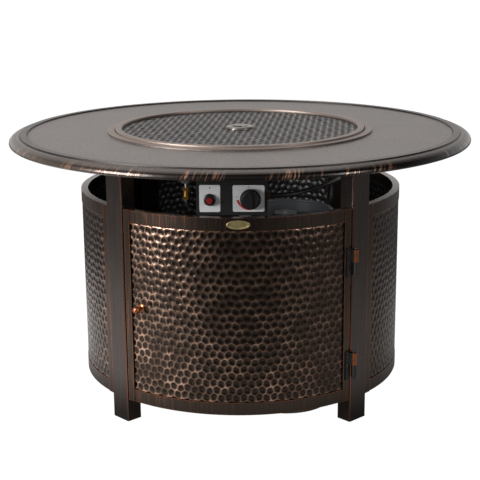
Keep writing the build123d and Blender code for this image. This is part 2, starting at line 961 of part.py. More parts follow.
# Hinges: a leaf with the upper knuckle on the door's stile, a lower knuckle welded on the leg, and a pin
for place, middle in hinge_heights.items():
    with BuildPart() as leaf:
        extrude(
            arc_plate(hinge_corner, middle - leaf_half_height, leaf_outer, leaf_inner, leaf_start, leaf_end),
            amount=2 * leaf_half_height,
        )
        with BuildSketch(corner_plane(hinge_corner, middle + knuckle_gap)) as web:
            with BuildLine():
                Polyline(
                    (web_root, web_root_out),
                    (web_root, web_root_top),
                    (hinge_along + knuckle_radius * sin(radians(40)), hinge_out + knuckle_radius * cos(radians(40))),
                    (hinge_along, hinge_out),
                    (hinge_along, hinge_out - knuckle_radius),
                    (leaf_start - leaf_margin, leg_outer + knuckle_standoff - knuckle_radius),
                    (leaf_start, leaf_inner + leaf_lift),
                    close=True,
                )
            make_face()
            with Locations((hinge_along, hinge_out)):
                Circle(knuckle_radius)
                Circle(pin_radius + pin_fit, mode=Mode.SUBTRACT)
        extrude(web.sketch, amount=knuckle_height - knuckle_gap)
        for angle, height in screw_places:
            rod(
                out_plane(angle, leaf_outer, height),
                hinge_screw_radius + pin_fit,
                -2 * leaf_thickness,
                leaf_thickness,
                mode=Mode.SUBTRACT,
            )
    keep(leaf, f"{place}_hinge_leaf")
    with BuildPart() as knuckle:
        with BuildSketch(corner_plane(hinge_corner, middle - knuckle_height)) as lug:
            with Locations((hinge_along, (leg_outer + hinge_out) / 2)):
                Rectangle(knuckle_radius, knuckle_standoff)
            with Locations((hinge_along, hinge_out)):
                Circle(knuckle_radius)
                Circle(pin_radius + pin_fit, mode=Mode.SUBTRACT)
        extrude(lug.sketch, amount=knuckle_height)
    keep(knuckle, f"{place}_hinge_knuckle")
    axis_point = corner_point(hinge_corner, hinge_along, hinge_out, middle)
    with BuildPart() as pin:
        rod(Plane(origin=axis_point), pin_radius, -knuckle_height - edge_ease, knuckle_height + edge_ease)
        ball_rise = knuckle_height + knuckle_gap + sqrt(pin_ball_radius**2 - pin_radius**2)
        for side in (-1, 1):
            with Locations(axis_point + Vector(0, 0, side * ball_rise)):
                Sphere(pin_ball_radius)
    keep(pin, f"{place}_hinge_pin")

with BuildPart() as hinge_screws:
    for angle, height in screw_places:
        turn(
            out_plane(angle, leaf_outer, height),
            [
                (0, -hinge_screw_length),
                (hinge_screw_radius, -hinge_screw_length),
                (hinge_screw_radius, 0),
                (hinge_screw_head_radius, 0),
                (hinge_screw_head_radius - edge_ease, hinge_screw_head_height),
                (0, hinge_screw_head_height),
            ],
        )
keep(hinge_screws, "hinge_screws")

# Magnet catch on the inside of the left front leg, and the strike plate on the door's stile
strike_end = door_end + stile_width - leaf_margin
strike_back = rail_inner - leaf_seat - strike_thickness
pole_out = sqrt(strike_back**2 - strike_end**2) - catch_gap
catch_face = pole_out - pole_depth
with BuildPart() as magnet_catch:
    with BuildSketch(corner_plane(catch_corner, knob_height - catch_height / 2)) as housing:
        with Locations((-(leg_half - catch_overlap + strike_end) / 2, leg_inner - catch_depth / 2)):
            Rectangle(strike_end - leg_half + catch_overlap, catch_depth)
        with Locations((-(leg_half + panel_gap + strike_end) / 2, (leg_inner - catch_depth + catch_face) / 2)):
            Rectangle(strike_end - leg_half - panel_gap, catch_face - leg_inner + catch_depth)
    extrude(housing.sketch, amount=catch_height)
    for step in (-pole_spacing / 2, pole_spacing / 2):
        with BuildSketch(corner_plane(catch_corner, knob_height + step - pole_height / 2)) as pole:
            with Locations((-(strike_end - strike_width / 2), (catch_face + pole_out) / 2)):
                Rectangle(strike_width / 2, pole_depth)
        extrude(pole.sketch, amount=pole_height)
keep(magnet_catch, "magnet_catch")

with BuildPart() as strike_plate:
    extrude(
        arc_plate(
            catch_corner,
            knob_height - strike_height / 2,
            rail_inner - leaf_seat,
            strike_back,
            -strike_end,
            strike_width - strike_end,
        ),
        amount=strike_height,
    )
keep(strike_plate, "strike_plate")

# Control box: a folded tray that hangs from the table's underside
knob_axis = front_plane(knob_x, control_axis_height, control_face)
igniter_axis = front_plane(igniter_x, igniter_height, control_face)
control_middle = control_left + control_width / 2
control_rise = under_height - control_bottom
with BuildPart() as control_box:
    with BuildSketch(front_plane(control_middle, control_bottom, control_face)) as tray:
        Rectangle(control_width, control_rise, align=(Align.CENTER, Align.MIN))
    extrude(tray.sketch, amount=-control_depth)
    with BuildSketch(front_plane(control_middle, control_bottom + control_sheet, control_face)) as hollow:
        Rectangle(
            control_width - 2 * control_sheet,
            control_rise - 2 * control_sheet,
            align=(Align.CENTER, Align.MIN),
        )
    extrude(hollow.sketch.moved(Location((0, control_sheet, 0))), amount=-control_depth, mode=Mode.SUBTRACT)
    rod(knob_axis, spindle_radius + spindle_face_gap, -control_depth, control_sheet, mode=Mode.SUBTRACT)
    rod(igniter_axis, igniter_barrel_radius + igniter_fit, -control_depth, control_sheet, mode=Mode.SUBTRACT)
    with Locations(*control_screw_places):
        Cylinder(control_screw_radius + bolt_clearance, 4 * control_sheet, mode=Mode.SUBTRACT)
keep(control_box, "control_box")

with BuildPart() as control_box_screws:
    for place in control_screw_places:
        turn(
            Plane(origin=place),
            [
                (0, -control_sheet - control_screw_head_height),
                (control_screw_head_radius, -control_sheet - control_screw_head_height),
                (control_screw_head_radius, -control_sheet),
                (control_screw_radius, -control_sheet),
                (control_screw_radius, control_screw_grip),
                (0, control_screw_grip),
            ],
        )
keep(control_box_screws, "control_box_screws")

for name, x, width, height, axis, hole in (
    ("igniter_plate", igniter_x, igniter_plate_width, igniter_plate_height, igniter_axis,
     igniter_barrel_radius + igniter_fit),
    ("dial_plate", dial_x, dial_plate_width, dial_plate_height, knob_axis, spindle_radius + spindle_face_gap),
):
    with BuildPart() as face_plate:
        with BuildSketch(front_plane(x, control_axis_height + plate_lift, control_face)) as outline:
            RectangleRounded(width, height, plate_corner)
        extrude(outline.sketch, amount=plate_thickness)
        rod(axis, hole, -plate_thickness, 2 * plate_thickness, mode=Mode.SUBTRACT)
    keep(face_plate, name)

# Igniter: a threaded body with a flange and rim in front, a nut behind, and the button that travels in it
flange_top = plate_thickness + igniter_flange_height
rim_top = flange_top + igniter_rim_height
button_bore = button_radius + button_fit
button_back = rim_top - button_sunk
with BuildPart() as igniter_body:
    turn(
        igniter_axis,
        [
            (0, -igniter_barrel_length),
            (igniter_barrel_radius, -igniter_barrel_length),
            (igniter_barrel_radius, plate_thickness),
            (igniter_flange_radius, plate_thickness),
            (igniter_flange_radius, flange_top - edge_ease),
            (igniter_rim_radius, flange_top),
            (igniter_rim_radius, rim_top - edge_ease),
            (igniter_rim_radius - edge_ease, rim_top),
            (button_bore, rim_top),
            (button_bore, button_back - button_travel - edge_ease),
            (0, button_back - button_travel - edge_ease),
        ],
    )
keep(igniter_body, "igniter_body")

with BuildPart() as igniter_nut:
    with BuildSketch(igniter_axis.offset(-control_sheet)) as nut:
        RegularPolygon(igniter_nut_radius, 6)
        Circle(igniter_barrel_radius + pin_fit, mode=Mode.SUBTRACT)
    extrude(nut.sketch, amount=-igniter_nut_height)
keep(igniter_nut, "igniter_nut")

with BuildPart() as igniter_button:
    turn(
        igniter_axis,
        [
            (0, button_back),
            (button_radius, button_back),
            (button_radius, rim_top + button_proud - edge_ease),
            (button_radius - edge_ease, rim_top + button_proud),
            (0, rim_top + button_proud),
        ],
    )
keep(igniter_button, "igniter_button")

# Gas valve: a cast body behind the face, with a front boss, a hose port and a feed port
spindle_back = -control_sheet - valve_boss_length - valve_length / 2
bore_back = spindle_back - push_travel - edge_ease
plunger_back = spindle_back - plunger_gap - plunger_length
plunger_bore_back = plunger_back - push_travel - edge_ease
valve_front = -control_sheet - valve_boss_length
valve_middle = valve_front - valve_length / 2
valve_back = valve_front - valve_length
port_depth_y = -control_face - valve_middle
hose_port_axis = Plane(
    origin=(knob_x, port_depth_y, control_axis_height),
    x_dir=(0, 1, 0),
    z_dir=(1, 0, 0),
)
with BuildPart() as gas_valve:
    with BuildSketch(knob_axis.offset(valve_back)) as casting:
        RectangleRounded(valve_width, valve_rise, plate_corner)
    extrude(casting.sketch, amount=valve_length)
    rod(knob_axis, valve_boss_radius, valve_front - edge_ease, -control_sheet)
    rod(knob_axis, valve_port_radius, valve_back - valve_port_length, valve_back + edge_ease)
    rod(hose_port_axis, valve_port_radius, 0, valve_width / 2 + valve_port_length)
    rod(knob_axis, spindle_radius + spindle_fit, bore_back, edge_ease, mode=Mode.SUBTRACT)
    rod(knob_axis, plunger_radius + spindle_fit, plunger_bore_back, 0, mode=Mode.SUBTRACT)
keep(gas_valve, "gas_valve")

with BuildPart() as valve_plunger:
    rod(knob_axis, plunger_radius, plunger_back, spindle_back - plunger_gap)
keep(valve_plunger, "valve_plunger")

knob_back = plate_thickness + knob_lift
spindle_front = knob_back + knob_depth - 2 * knob_skirt
with BuildPart() as valve_spindle:
    rod(knob_axis, spindle_radius, spindle_back, spindle_front)
keep(valve_spindle, "valve_spindle")

# Control knob: a skirt, a round grip and a raised finger bar
with BuildPart() as control_knob:
    turn(
        knob_axis,
        [
            (0, knob_back),
            (knob_radius, knob_back),
            (knob_radius, knob_back + knob_skirt - edge_ease),
            (knob_radius - edge_ease, knob_back + knob_skirt),
            (knob_grip_radius + edge_ease, knob_back + knob_skirt),
            (knob_grip_radius, knob_back + knob_depth - knob_bar_height - edge_ease),
            (knob_grip_radius - edge_ease, knob_back + knob_depth - knob_bar_height),
            (0, knob_back + knob_depth - knob_bar_height),
        ],
    )
    with BuildSketch(knob_axis.offset(knob_back + knob_depth - knob_bar_height - edge_ease)) as bar:
        SlotOverall(2 * knob_grip_radius - 4 * edge_ease, knob_bar_width, rotation=90)
    extrude(bar.sketch, amount=knob_bar_height + edge_ease)
    rod(knob_axis, spindle_radius + pin_fit, knob_back - edge_ease, spindle_front, mode=Mode.SUBTRACT)
keep(control_knob, "control_knob")

hose_nut_start = valve_width / 2 + valve_port_length
with BuildPart() as hose_nut:
    with BuildSketch(hose_port_axis.offset(hose_nut_start)) as nut:
        RegularPolygon(hose_nut_radius, 6)
    extrude(nut.sketch, amount=hose_nut_length)
keep(hose_nut, "hose_nut")

# Feed union: a brass barrel between two hexagon nuts, which joins the elbow's tail to the feed line
with BuildPart() as feed_union:
    rod(Plane(origin=(*elbow_place, 0)), union_barrel_radius, union_bottom, union_top)
    for nut_bottom in (union_bottom, union_top - union_nut_height):
        with BuildSketch(Plane(origin=(*elbow_place, nut_bottom))) as union_nut:
            RegularPolygon(union_nut_radius, 6)
        extrude(union_nut.sketch, amount=union_nut_height)
keep(feed_union, "feed_union")

# Feed line: bent tube from the union, down and across behind the control box to the valve's feed port
feed_start = Vector(*elbow_place, union_bottom)
feed_end = knob_axis.from_local_coords((0, 0, valve_back - valve_port_length))
with BuildPart() as feed_line:
    with BuildLine() as feed_path:
        FilletPolyline(
            feed_start,
            feed_start - Vector(0, 0, feed_drop),
            feed_end + Vector(0, feed_back, 0),
            feed_end,
            radius=feed_bend,
        )
    with BuildSketch(Plane(origin=feed_start, z_dir=(0, 0, -1))) as feed_section:
        Circle(feed_radius)
    sweep(feed_section.sketch, path=feed_path.wires()[0])
keep(feed_line, "feed_line")

# Gas cylinder: a welded shell with a foot ring, standing on the floor
cylinder_axis = Axis((cylinder_x, cylinder_y, 0), (0, 0, 1))
cylinder_section = Plane(origin=(cylinder_x, cylinder_y, 0), x_dir=(1, 0, 0), z_dir=(0, -1, 0))
upper_head_base = lower_head_base + cylinder_body_height
knuckle_centre = cylinder_radius - head_knuckle
crown_fall = sqrt((head_crown - head_knuckle) ** 2 - knuckle_centre**2)
knuckle_sweep = degrees(asin(crown_fall / (head_crown - head_knuckle)))
head_height = head_crown - crown_fall


def head_rise(radius):
    """Height of a domed end above its base, at a radius on its crown."""
    return sqrt(head_crown**2 - radius**2) - crown_fall


with BuildPart() as cylinder_shell:
    for inset, mode in ((0, Mode.ADD), (cylinder_wall, Mode.SUBTRACT)):
        crown = head_crown - inset
        knuckle_bend = head_knuckle - inset
        with BuildSketch(cylinder_section) as half_section:
            with BuildLine():
                lower_crown = CenterArc((0, lower_head_base + crown_fall), crown, 270, 90 - knuckle_sweep)
                CenterArc((knuckle_centre, lower_head_base), knuckle_bend, -knuckle_sweep, knuckle_sweep)
                Line(
                    (cylinder_radius - inset, lower_head_base),
                    (cylinder_radius - inset, upper_head_base),
                )
                CenterArc((knuckle_centre, upper_head_base), knuckle_bend, 0, knuckle_sweep)
                upper_crown = CenterArc(
                    (0, upper_head_base - crown_fall), crown, knuckle_sweep, 90 - knuckle_sweep
                )
                Line(upper_crown @ 1, lower_crown @ 0)
            make_face()
        revolve(half_section.sketch, axis=cylinder_axis, mode=mode)
    with Locations((cylinder_x, cylinder_y, upper_head_base + head_height)):
        Cylinder(neck_radius, 4 * cylinder_wall, mode=Mode.SUBTRACT)
    turn(
        Plane(origin=(cylinder_x, cylinder_y, 0)),
        [
            (foot_ring_radius - foot_ring_wall, 0),
            (foot_ring_radius + foot_ring_flare, 0),
            (foot_ring_radius + foot_ring_flare, foot_ring_wall),
            (foot_ring_radius, foot_ring_wall),
            (foot_ring_radius, lower_head_base - head_rise(foot_ring_radius) + cylinder_wall / 2),
            (
                foot_ring_radius - foot_ring_wall,
                lower_head_base - head_rise(foot_ring_radius) + cylinder_wall / 2,
            ),
        ],
    )
keep(cylinder_shell, "cylinder_shell")

# Cylinder collar: a guard ring with a rolled top edge and three hand holes
collar_bottom = upper_head_base + head_rise(cylinder_collar_radius - cylinder_collar_wall) + collar_seat
hand_hole_middle = cylinder_height - hand_hole_top - hand_hole_height / 2
with BuildPart() as cylinder_collar:
    turn(
        Plane(origin=(cylinder_x, cylinder_y, 0)),
        [
            (cylinder_collar_radius - cylinder_collar_wall, collar_bottom),
            (cylinder_collar_radius, collar_bottom),
            (cylinder_collar_radius, cylinder_height - collar_bead_radius),
            (cylinder_collar_radius - cylinder_collar_wall, cylinder_height - collar_bead_radius),
        ],
    )
    with BuildSketch(cylinder_section) as bead:
        with Locations((cylinder_collar_radius, cylinder_height - collar_bead_radius)):
            Circle(collar_bead_radius)
    revolve(bead.sketch, axis=cylinder_axis)
    for index in range(hand_hole_count):
        angle = radians(hand_hole_angle + 360 * index / hand_hole_count)
        outward = (cos(angle), sin(angle), 0)
        hole_plane = Plane(
            origin=(cylinder_x, cylinder_y, hand_hole_middle),
            x_dir=(-sin(angle), cos(angle), 0),
            z_dir=outward,
        )
        with BuildSketch(hole_plane) as hand_hole:
            RectangleRounded(hand_hole_width, hand_hole_height, hand_hole_corner)
        extrude(hand_hole.sketch, amount=cylinder_radius, mode=Mode.SUBTRACT)
keep(cylinder_collar, "cylinder_collar")

# Cylinder valve: brass body screwed into the neck, with the outlet towards a hand hole
dome_top = upper_head_base + head_height
valve_base = dome_top + valve_seat
valve_top = valve_base + valve_body_height
outlet_height = valve_base + outlet_rise
outlet_direction = (cos(radians(hand_hole_angle)), sin(radians(hand_hole_angle)), 0)
outlet_axis = Plane(
    origin=(cylinder_x, cylinder_y, outlet_height),
    x_dir=(0, 0, 1),
    z_dir=outlet_direction,
)
with BuildPart() as cylinder_valve:
    turn(
        Plane(origin=(cylinder_x, cylinder_y, valve_base)),
        [
            (0, -2 * cylinder_wall - valve_seat),
            (neck_radius - neck_fit, -2 * cylinder_wall - valve_seat),
            (neck_radius - neck_fit, 0),
            (valve_flange_radius, 0),
            (valve_flange_radius, valve_flange_height),
            (cylinder_valve_radius, valve_flange_height),
            (cylinder_valve_radius, valve_body_height - valve_flange_height),
            (cylinder_valve_radius - valve_flange_height, valve_body_height),
            (stem_radius, valve_body_height),
            (stem_radius, valve_body_height + stem_length),
            (0, valve_body_height + stem_length),
        ],
    )
    rod(outlet_axis, outlet_radius, 0, outlet_reach)
keep(cylinder_valve, "cylinder_valve")

# Handwheel: a lobed wheel on the valve's stem
with BuildPart() as cylinder_handwheel:
    with BuildSketch(Plane(origin=(cylinder_x, cylinder_y, valve_top + wheel_gap))) as wheel:
        Circle(wheel_radius)
        with PolarLocations(wheel_radius + wheel_scallop / 2, wheel_lobes):
            Circle(wheel_scallop, mode=Mode.SUBTRACT)
        Circle(stem_radius + stem_fit, mode=Mode.SUBTRACT)
    extrude(wheel.sketch, amount=wheel_height)
keep(cylinder_handwheel, "cylinder_handwheel")

# Regulator: a coupling nut on the cylinder valve's outlet, a round diaphragm body and a hose barb
coupling_start = outlet_reach - coupling_wrap
coupling_end = coupling_start + coupling_length
with BuildPart() as coupling_nut:
    turn(
        outlet_axis,
        [
            (outlet_radius + coupling_fit, coupling_start),
            (coupling_radius, coupling_start),
            (coupling_radius, coupling_end - edge_ease),
            (coupling_radius - edge_ease, coupling_end),
            (nipple_radius + nipple_fit, coupling_end),
            (nipple_radius + nipple_fit, coupling_end - coupling_wall),
            (outlet_radius + coupling_fit, coupling_end - coupling_wall),
        ],
    )
    with BuildSketch(outlet_axis.offset(coupling_start)) as ribs:
        with PolarLocations(coupling_radius, coupling_ribs):
            Circle(coupling_rib_radius)
    extrude(ribs.sketch, amount=coupling_length - edge_ease)
keep(coupling_nut, "coupling_nut")

regulator_centre = coupling_end + regulator_gap + regulator_radius
regulator_place = outlet_axis.from_local_coords((0, 0, regulator_centre))
barb_end = regulator_centre + regulator_radius + barb_length
with BuildPart() as regulator:
    turn(
        Plane(origin=regulator_place),
        [
            (0, -regulator_height / 2),
            (regulator_radius / 2, -regulator_height / 2),
            (regulator_radius, -regulator_height / 6),
            (regulator_radius, regulator_height / 6),
            (regulator_radius / 2, regulator_height / 2),
            (regulator_vent_radius, regulator_height / 2),
            (regulator_vent_radius, regulator_height / 2 + regulator_vent_height),
            (0, regulator_height / 2 + regulator_vent_height),
        ],
    )
    rod(outlet_axis, nipple_radius, outlet_reach, regulator_centre)
    rod(outlet_axis, barb_radius, regulator_centre, barb_end)
keep(regulator, "regulator")

# Gas hose: straight runs joined by arcs as large as the runs allow
hose_end = outlet_axis.from_local_coords((0, 0, barb_end))
hose_out = Vector(*outlet_direction)
hose_start = hose_port_axis.from_local_coords((0, 0, hose_nut_start + hose_nut_length))
route = [hose_start, hose_start + Vector(hose_lead, 0, 0)]
route += [Vector(*point) for point in hose_points]
route.append(hose_end + hose_out * hose_turn + Vector(0, 0, hose_turn_rise))
route.append(hose_end + hose_out * hose_approach)
route.append(hose_end)
hose_radii = []
for before, point, after in zip(route, route[1:], route[2:]):
    run_in = point - before
    run_out = after - point
    half_turn = radians(run_in.get_angle(run_out)) / 2
    hose_radii.append(hose_arc_share * min(run_in.length, run_out.length) / tan(half_turn))
print("hose radii", [round(radius, 1) for radius in hose_radii])
with BuildPart() as gas_hose:
    with BuildLine() as hose_path:
        FilletPolyline(*route, radius=hose_radii)
    with BuildSketch(Plane(origin=route[0], z_dir=(route[1] - route[0]))) as hose_section:
        Circle(hose_radius)
    sweep(hose_section.sketch, path=hose_path.wires()[0])
keep(gas_hose, "gas_hose")
print("hose length", round(hose_path.wires()[0].length, 1), "volume", round(gas_hose.part.volume))
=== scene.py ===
# %% [markdown]
# # A propane fire pit, dressed in Blender
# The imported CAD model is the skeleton: every tube, hinge and fitting is already in place, in metres, with
# +Z up. This lesson adds what CAD leaves out: the hammered sheets, the rubbed copper edges, the cast
# texture of the top, the rubber hose, the marks on the controls, and the light of a small photo studio.

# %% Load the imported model
import json
from math import asin, cos, pi, radians, sin

import bmesh
import bpy
from mathutils import Matrix, Vector


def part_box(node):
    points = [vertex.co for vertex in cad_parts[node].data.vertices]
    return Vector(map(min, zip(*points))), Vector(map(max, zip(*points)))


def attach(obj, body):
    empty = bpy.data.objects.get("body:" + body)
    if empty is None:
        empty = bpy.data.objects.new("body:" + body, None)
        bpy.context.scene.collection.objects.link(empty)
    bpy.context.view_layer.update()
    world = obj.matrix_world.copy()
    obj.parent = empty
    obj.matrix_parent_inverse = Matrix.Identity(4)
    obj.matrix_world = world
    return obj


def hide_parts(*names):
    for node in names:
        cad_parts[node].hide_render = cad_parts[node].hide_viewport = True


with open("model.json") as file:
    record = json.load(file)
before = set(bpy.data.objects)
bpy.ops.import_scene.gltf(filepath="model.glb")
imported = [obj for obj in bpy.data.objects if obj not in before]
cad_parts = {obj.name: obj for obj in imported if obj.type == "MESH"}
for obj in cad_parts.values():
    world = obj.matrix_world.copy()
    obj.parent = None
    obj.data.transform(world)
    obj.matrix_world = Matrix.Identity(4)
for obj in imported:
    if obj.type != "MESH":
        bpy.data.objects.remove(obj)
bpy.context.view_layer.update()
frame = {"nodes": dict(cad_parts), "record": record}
nodes = frame["nodes"]

# %% [markdown]
# ## Camera
# The photograph was taken from almost straight in front, with a long lens, a little above the table top.
# The camera's height, distance and pitch were fitted to the ellipses of the top and the lid and to the
# feet. A constraint could aim the camera, but plain angles also hold the photograph's slight roll.

# %% Camera
CAMERA_DISTANCE = 2.6984
CAMERA_HEIGHT = 1.0412
CAMERA_AZIMUTH = radians(1.491)
FACING_AZIMUTH = radians(1.526)
CAMERA_PITCH = radians(14.32)
CAMERA_ROLL = radians(-0.45)
SENSOR_MM = 36.0
LENS_MM = 86.865


def add_object(name, data):
    """Put a mesh, curve, lamp or camera into the scene as an object."""
    made = bpy.data.objects.new(name, data)
    bpy.context.scene.collection.objects.link(made)
    return made


camera_data = bpy.data.cameras.new("photo_camera")
camera_data.sensor_width = SENSOR_MM
camera_data.lens = LENS_MM
camera = add_object("photo_camera", camera_data)
camera.location = (
    CAMERA_DISTANCE * sin(CAMERA_AZIMUTH),
    -CAMERA_DISTANCE * cos(CAMERA_AZIMUTH),
    CAMERA_HEIGHT,
)
turn_to_front = Matrix.Rotation(FACING_AZIMUTH, 3, "Z")
look_down = Matrix.Rotation(pi / 2 - CAMERA_PITCH, 3, "X")
roll = Matrix.Rotation(CAMERA_ROLL, 3, "Z")
camera.rotation_euler = (turn_to_front @ look_down @ roll).to_euler()
bpy.context.scene.camera = camera
print("camera at", tuple(round(value, 3) for value in camera.location))

# %% [markdown]
# ## Helpers for colours and nodes
# Colours are written as sRGB hex, the way a paint chart gives them, and one function turns them to the
# linear values that shaders need. One function adds any node with its settings and links. A node that is
# given as an input stands for its first output in use, so a chain of nodes reads from top to bottom.

# %% Helpers for colours and nodes
MM = 0.001
NODE_PREFIXES = ("ShaderNode", "GeometryNode", "")


def linear(hex_code):
    """Linear RGBA of an sRGB hex colour."""
    shades = [int(hex_code[place:place + 2], 16) / 255 for place in (1, 3, 5)]
    steps = [shade / 12.92 if shade <= 0.04045 else ((shade + 0.055) / 1.055) ** 2.4 for shade in shades]
    return (*steps, 1.0)


def feed(node, inputs):
    """Give a node's inputs values, hex colours, or links from sockets and nodes."""
    for key, value in inputs.items():
        if isinstance(value, bpy.types.Node):
            value = next(socket for socket in value.outputs if socket.enabled)
        if isinstance(value, bpy.types.NodeSocket):
            node.id_data.links.new(value, node.inputs[key])
            continue
        if isinstance(value, str) and value.startswith("#"):
            value = linear(value)
        node.inputs[key].default_value = value


def add_node(tree, kind, inputs=None, **settings):
    """Add one node, set its properties and feed its inputs. Its kind is written without a prefix."""
    names = [prefix + kind for prefix in NODE_PREFIXES]
    made = tree.nodes.new(next(name for name in names if hasattr(bpy.types, name)))
    for name, value in settings.items():
        setattr(made, name, value)
    feed(made, inputs or {})
    return made


def new_material(name, **sockets):
    """Material with one Principled shader whose constant sockets are set, and its object coordinates."""
    material = bpy.data.materials.new(name)
    material.use_nodes = True
    tree = material.node_tree
    shader = tree.nodes["Principled BSDF"]
    feed(shader, sockets)
    place = add_node(tree, "TexCoord").outputs["Object"]
    return material, tree, shader, place


def layered(tree, coat, layers):
    """Colour of a coat with layers over it. Each layer is a mask and a colour."""
    for mask, colour in layers:
        coat = add_node(tree, "Mix", {"Factor": mask, "A": coat, "B": colour}, data_type="RGBA")
    return coat


def pattern_scale(size_mm):
    """Noise scale whose patches are about this many millimetres across."""
    return 1 / (size_mm * MM)


print("helpers ready")

# %% [markdown]
# ## Gas hose
# A rubber hose leaves the brass nut on the gas valve, runs round the right side under the burner pan and
# comes down to the regulator on the cylinder. It could be a mesh tube, but it is a fixed length of
# something flexible, so its line is one smooth NURBS curve through the same route as the CAD tube, with a
# round bevel.

# %% Rubber and the hose
HOSE_DIAMETER = 0.010

# Moulded rubber: matte black with a faint grain that catches light in a broken line.
hose_rubber, tree, shader, place = new_material("moulded_rubber", Roughness=0.5)
grain = add_node(tree, "TexNoise", {"Vector": place, "Scale": pattern_scale(2.5), "Detail": 3.0})
shade = layered(tree, "#0e0e0e", [(grain, "#1b1a1a")])
dents = add_node(tree, "Bump", {"Height": grain, "Strength": 0.2, "Distance": 0.2 * MM})
feed(shader, {"Base Color": shade, "Normal": dents})

hose_route = [
    (0.0695, -0.2815, 0.5220), (0.1095, -0.2815, 0.5220), (0.1470, -0.2580, 0.5265),
    (0.1850, -0.2100, 0.5285), (0.2130, -0.1480, 0.5260), (0.2290, -0.0840, 0.5195),
    (0.2330, -0.0250, 0.5150), (0.2310, 0.0320, 0.5120), (0.2270, 0.0870, 0.5100),
    (0.2260, 0.1200, 0.4770), (0.2240, 0.1200, 0.4300), (0.2163, 0.0877, 0.3983),
    (0.1948, 0.0470, 0.3973), (0.1750, 0.0100, 0.3973),
]
hose_curve = bpy.data.curves.new("gas_hose_line", "CURVE")
hose_curve.dimensions = "3D"
hose_curve.bevel_depth = HOSE_DIAMETER / 2
hose_curve.bevel_resolution = 5
hose_curve.resolution_u = 10
hose_curve.use_fill_caps = True
hose_line = hose_curve.splines.new("NURBS")
hose_line.points.add(len(hose_route) - 1)
for point, corner in zip(hose_line.points, hose_route):
    point.co = (*corner, 1.0)
hose_line.order_u = 3
hose_line.use_endpoint_u = True
hose_curve.materials.append(hose_rubber)
gas_hose = add_object("gas_hose_rubber", hose_curve)
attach(gas_hose, "table")
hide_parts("gas_hose")
print("hose points", len(hose_route))

# %% [markdown]
# ## Copper-rubbed bronze
# The metal is painted dark bronze and then rubbed by hand, so bare copper colour shows wherever a cloth
# would reach: on edges and ridges. Edges could be marked on the mesh, but the Bevel node finds them by
# itself: near an edge its rounded normal differs from the true one. Noise breaks the rub up, so it reads as
# handwork.

# %% Rubbed edges
RUB_GAP_MM = 14.0


def rubbed_edges(tree, place, width_mm):
    """Mask of hand-rubbed edges, from the angle between a bevelled and the true normal."""
    rounded = add_node(tree, "Bevel", {"Radius": width_mm * MM}, samples=8)
    true_normal = add_node(tree, "NewGeometry").outputs["Normal"]
    match = add_node(tree, "VectorMath", {0: rounded, 1: true_normal}, operation="DOT_PRODUCT")
    edge = add_node(tree, "MapRange", {"Value": match, "From Min": 0.985, "From Max": 0.86})
    skips = add_node(tree, "TexNoise", {"Vector": place, "Scale": pattern_scale(RUB_GAP_MM), "Detail": 3.0})
    patches = add_node(
        tree, "MapRange", {"Value": skips, "From Min": 0.3, "From Max": 0.55, "To Min": 0.25}
    )
    return add_node(tree, "Math", {0: edge, 1: patches}, operation="MULTIPLY")


print("rubbed edges ready")

# %% [markdown]
# ## Cast table top
# The top is sand-cast aluminium under a bronze powder coat. Sand casting leaves a fine even grit on the
# flat field, and the coat is half gloss, so at the camera's low angle the field turns pale with the
# studio's reflection. Grit could be displaced, but it is too low for that, so it is colour and bump on the
# field alone.

# %% Cast top: gritty field
FIELD_HEIGHT = 0.622
FIELD_TOLERANCE = 0.0008
CLOUD_MM = 70.0
# Real grit is about a millimetre across. It is drawn coarser, because that would not show in the render.
GRIT_MM = 5.5

# Sand-cast coat: pale speckles over soft brown clouds, like metal that was poured in sand.
cast_top, tree, shader, place = new_material("sand_cast_bronze_coat")
spot = add_node(tree, "SeparateXYZ", {0: place}).outputs
on_field = add_node(tree, "Math", {0: spot["Z"], 1: FIELD_HEIGHT, 2: FIELD_TOLERANCE}, operation="COMPARE")
clouds = add_node(tree, "TexNoise", {"Vector": place, "Scale": pattern_scale(CLOUD_MM), "Detail": 3.0})
grit = add_node(tree, "TexNoise", {"Vector": place, "Scale": pattern_scale(GRIT_MM), "Detail": 4.0})
speckles = add_node(tree, "MapRange", {"Value": grit, "From Min": 0.4, "From Max": 0.62, "To Max": 0.8})
gritty = add_node(tree, "Math", {0: speckles, 1: on_field}, operation="MULTIPLY")
field = layered(tree, "#4d4541", [(clouds, "#6a605b"), (gritty, "#8b8079")])
print("gritty field", len(tree.nodes), "nodes")

# %% [markdown]
# ## Cloth strokes on the rolled rim
# The rim was rubbed in short slanted strokes of a cloth, which show as copper streaks in clusters. They
# have no height, so they are noise and not geometry. The noise lies on a strip that runs round the rim: the
# angle gives the way along it, and the height is squeezed, so that each streak is long across the rim.

# %% Cast top: cloth strokes
RIM_RADIUS = 0.5335
RIM_LOW = 0.6145
RIM_HIGH = 0.6235
STROKE_MM = 4.0
CLUSTER_MM = 90.0
STROKE_SQUEEZE = 0.12
STROKE_LEAN = 0.4

angle = add_node(tree, "Math", {0: spot["Y"], 1: spot["X"]}, operation="ARCTAN2")
around = add_node(tree, "Math", {0: angle, 1: RIM_RADIUS}, operation="MULTIPLY")
lean = add_node(tree, "Math", {0: spot["Z"], 1: STROKE_LEAN}, operation="MULTIPLY")
slanted = add_node(tree, "Math", {0: around, 1: lean}, operation="SUBTRACT")
squeezed = add_node(tree, "Math", {0: spot["Z"], 1: STROKE_SQUEEZE}, operation="MULTIPLY")
along_rim = add_node(tree, "CombineXYZ", {"X": slanted, "Y": squeezed})
on_rim = add_node(tree, "MapRange", {"Value": spot["Z"], "From Min": RIM_HIGH, "From Max": RIM_LOW})
rim_rub = on_rim
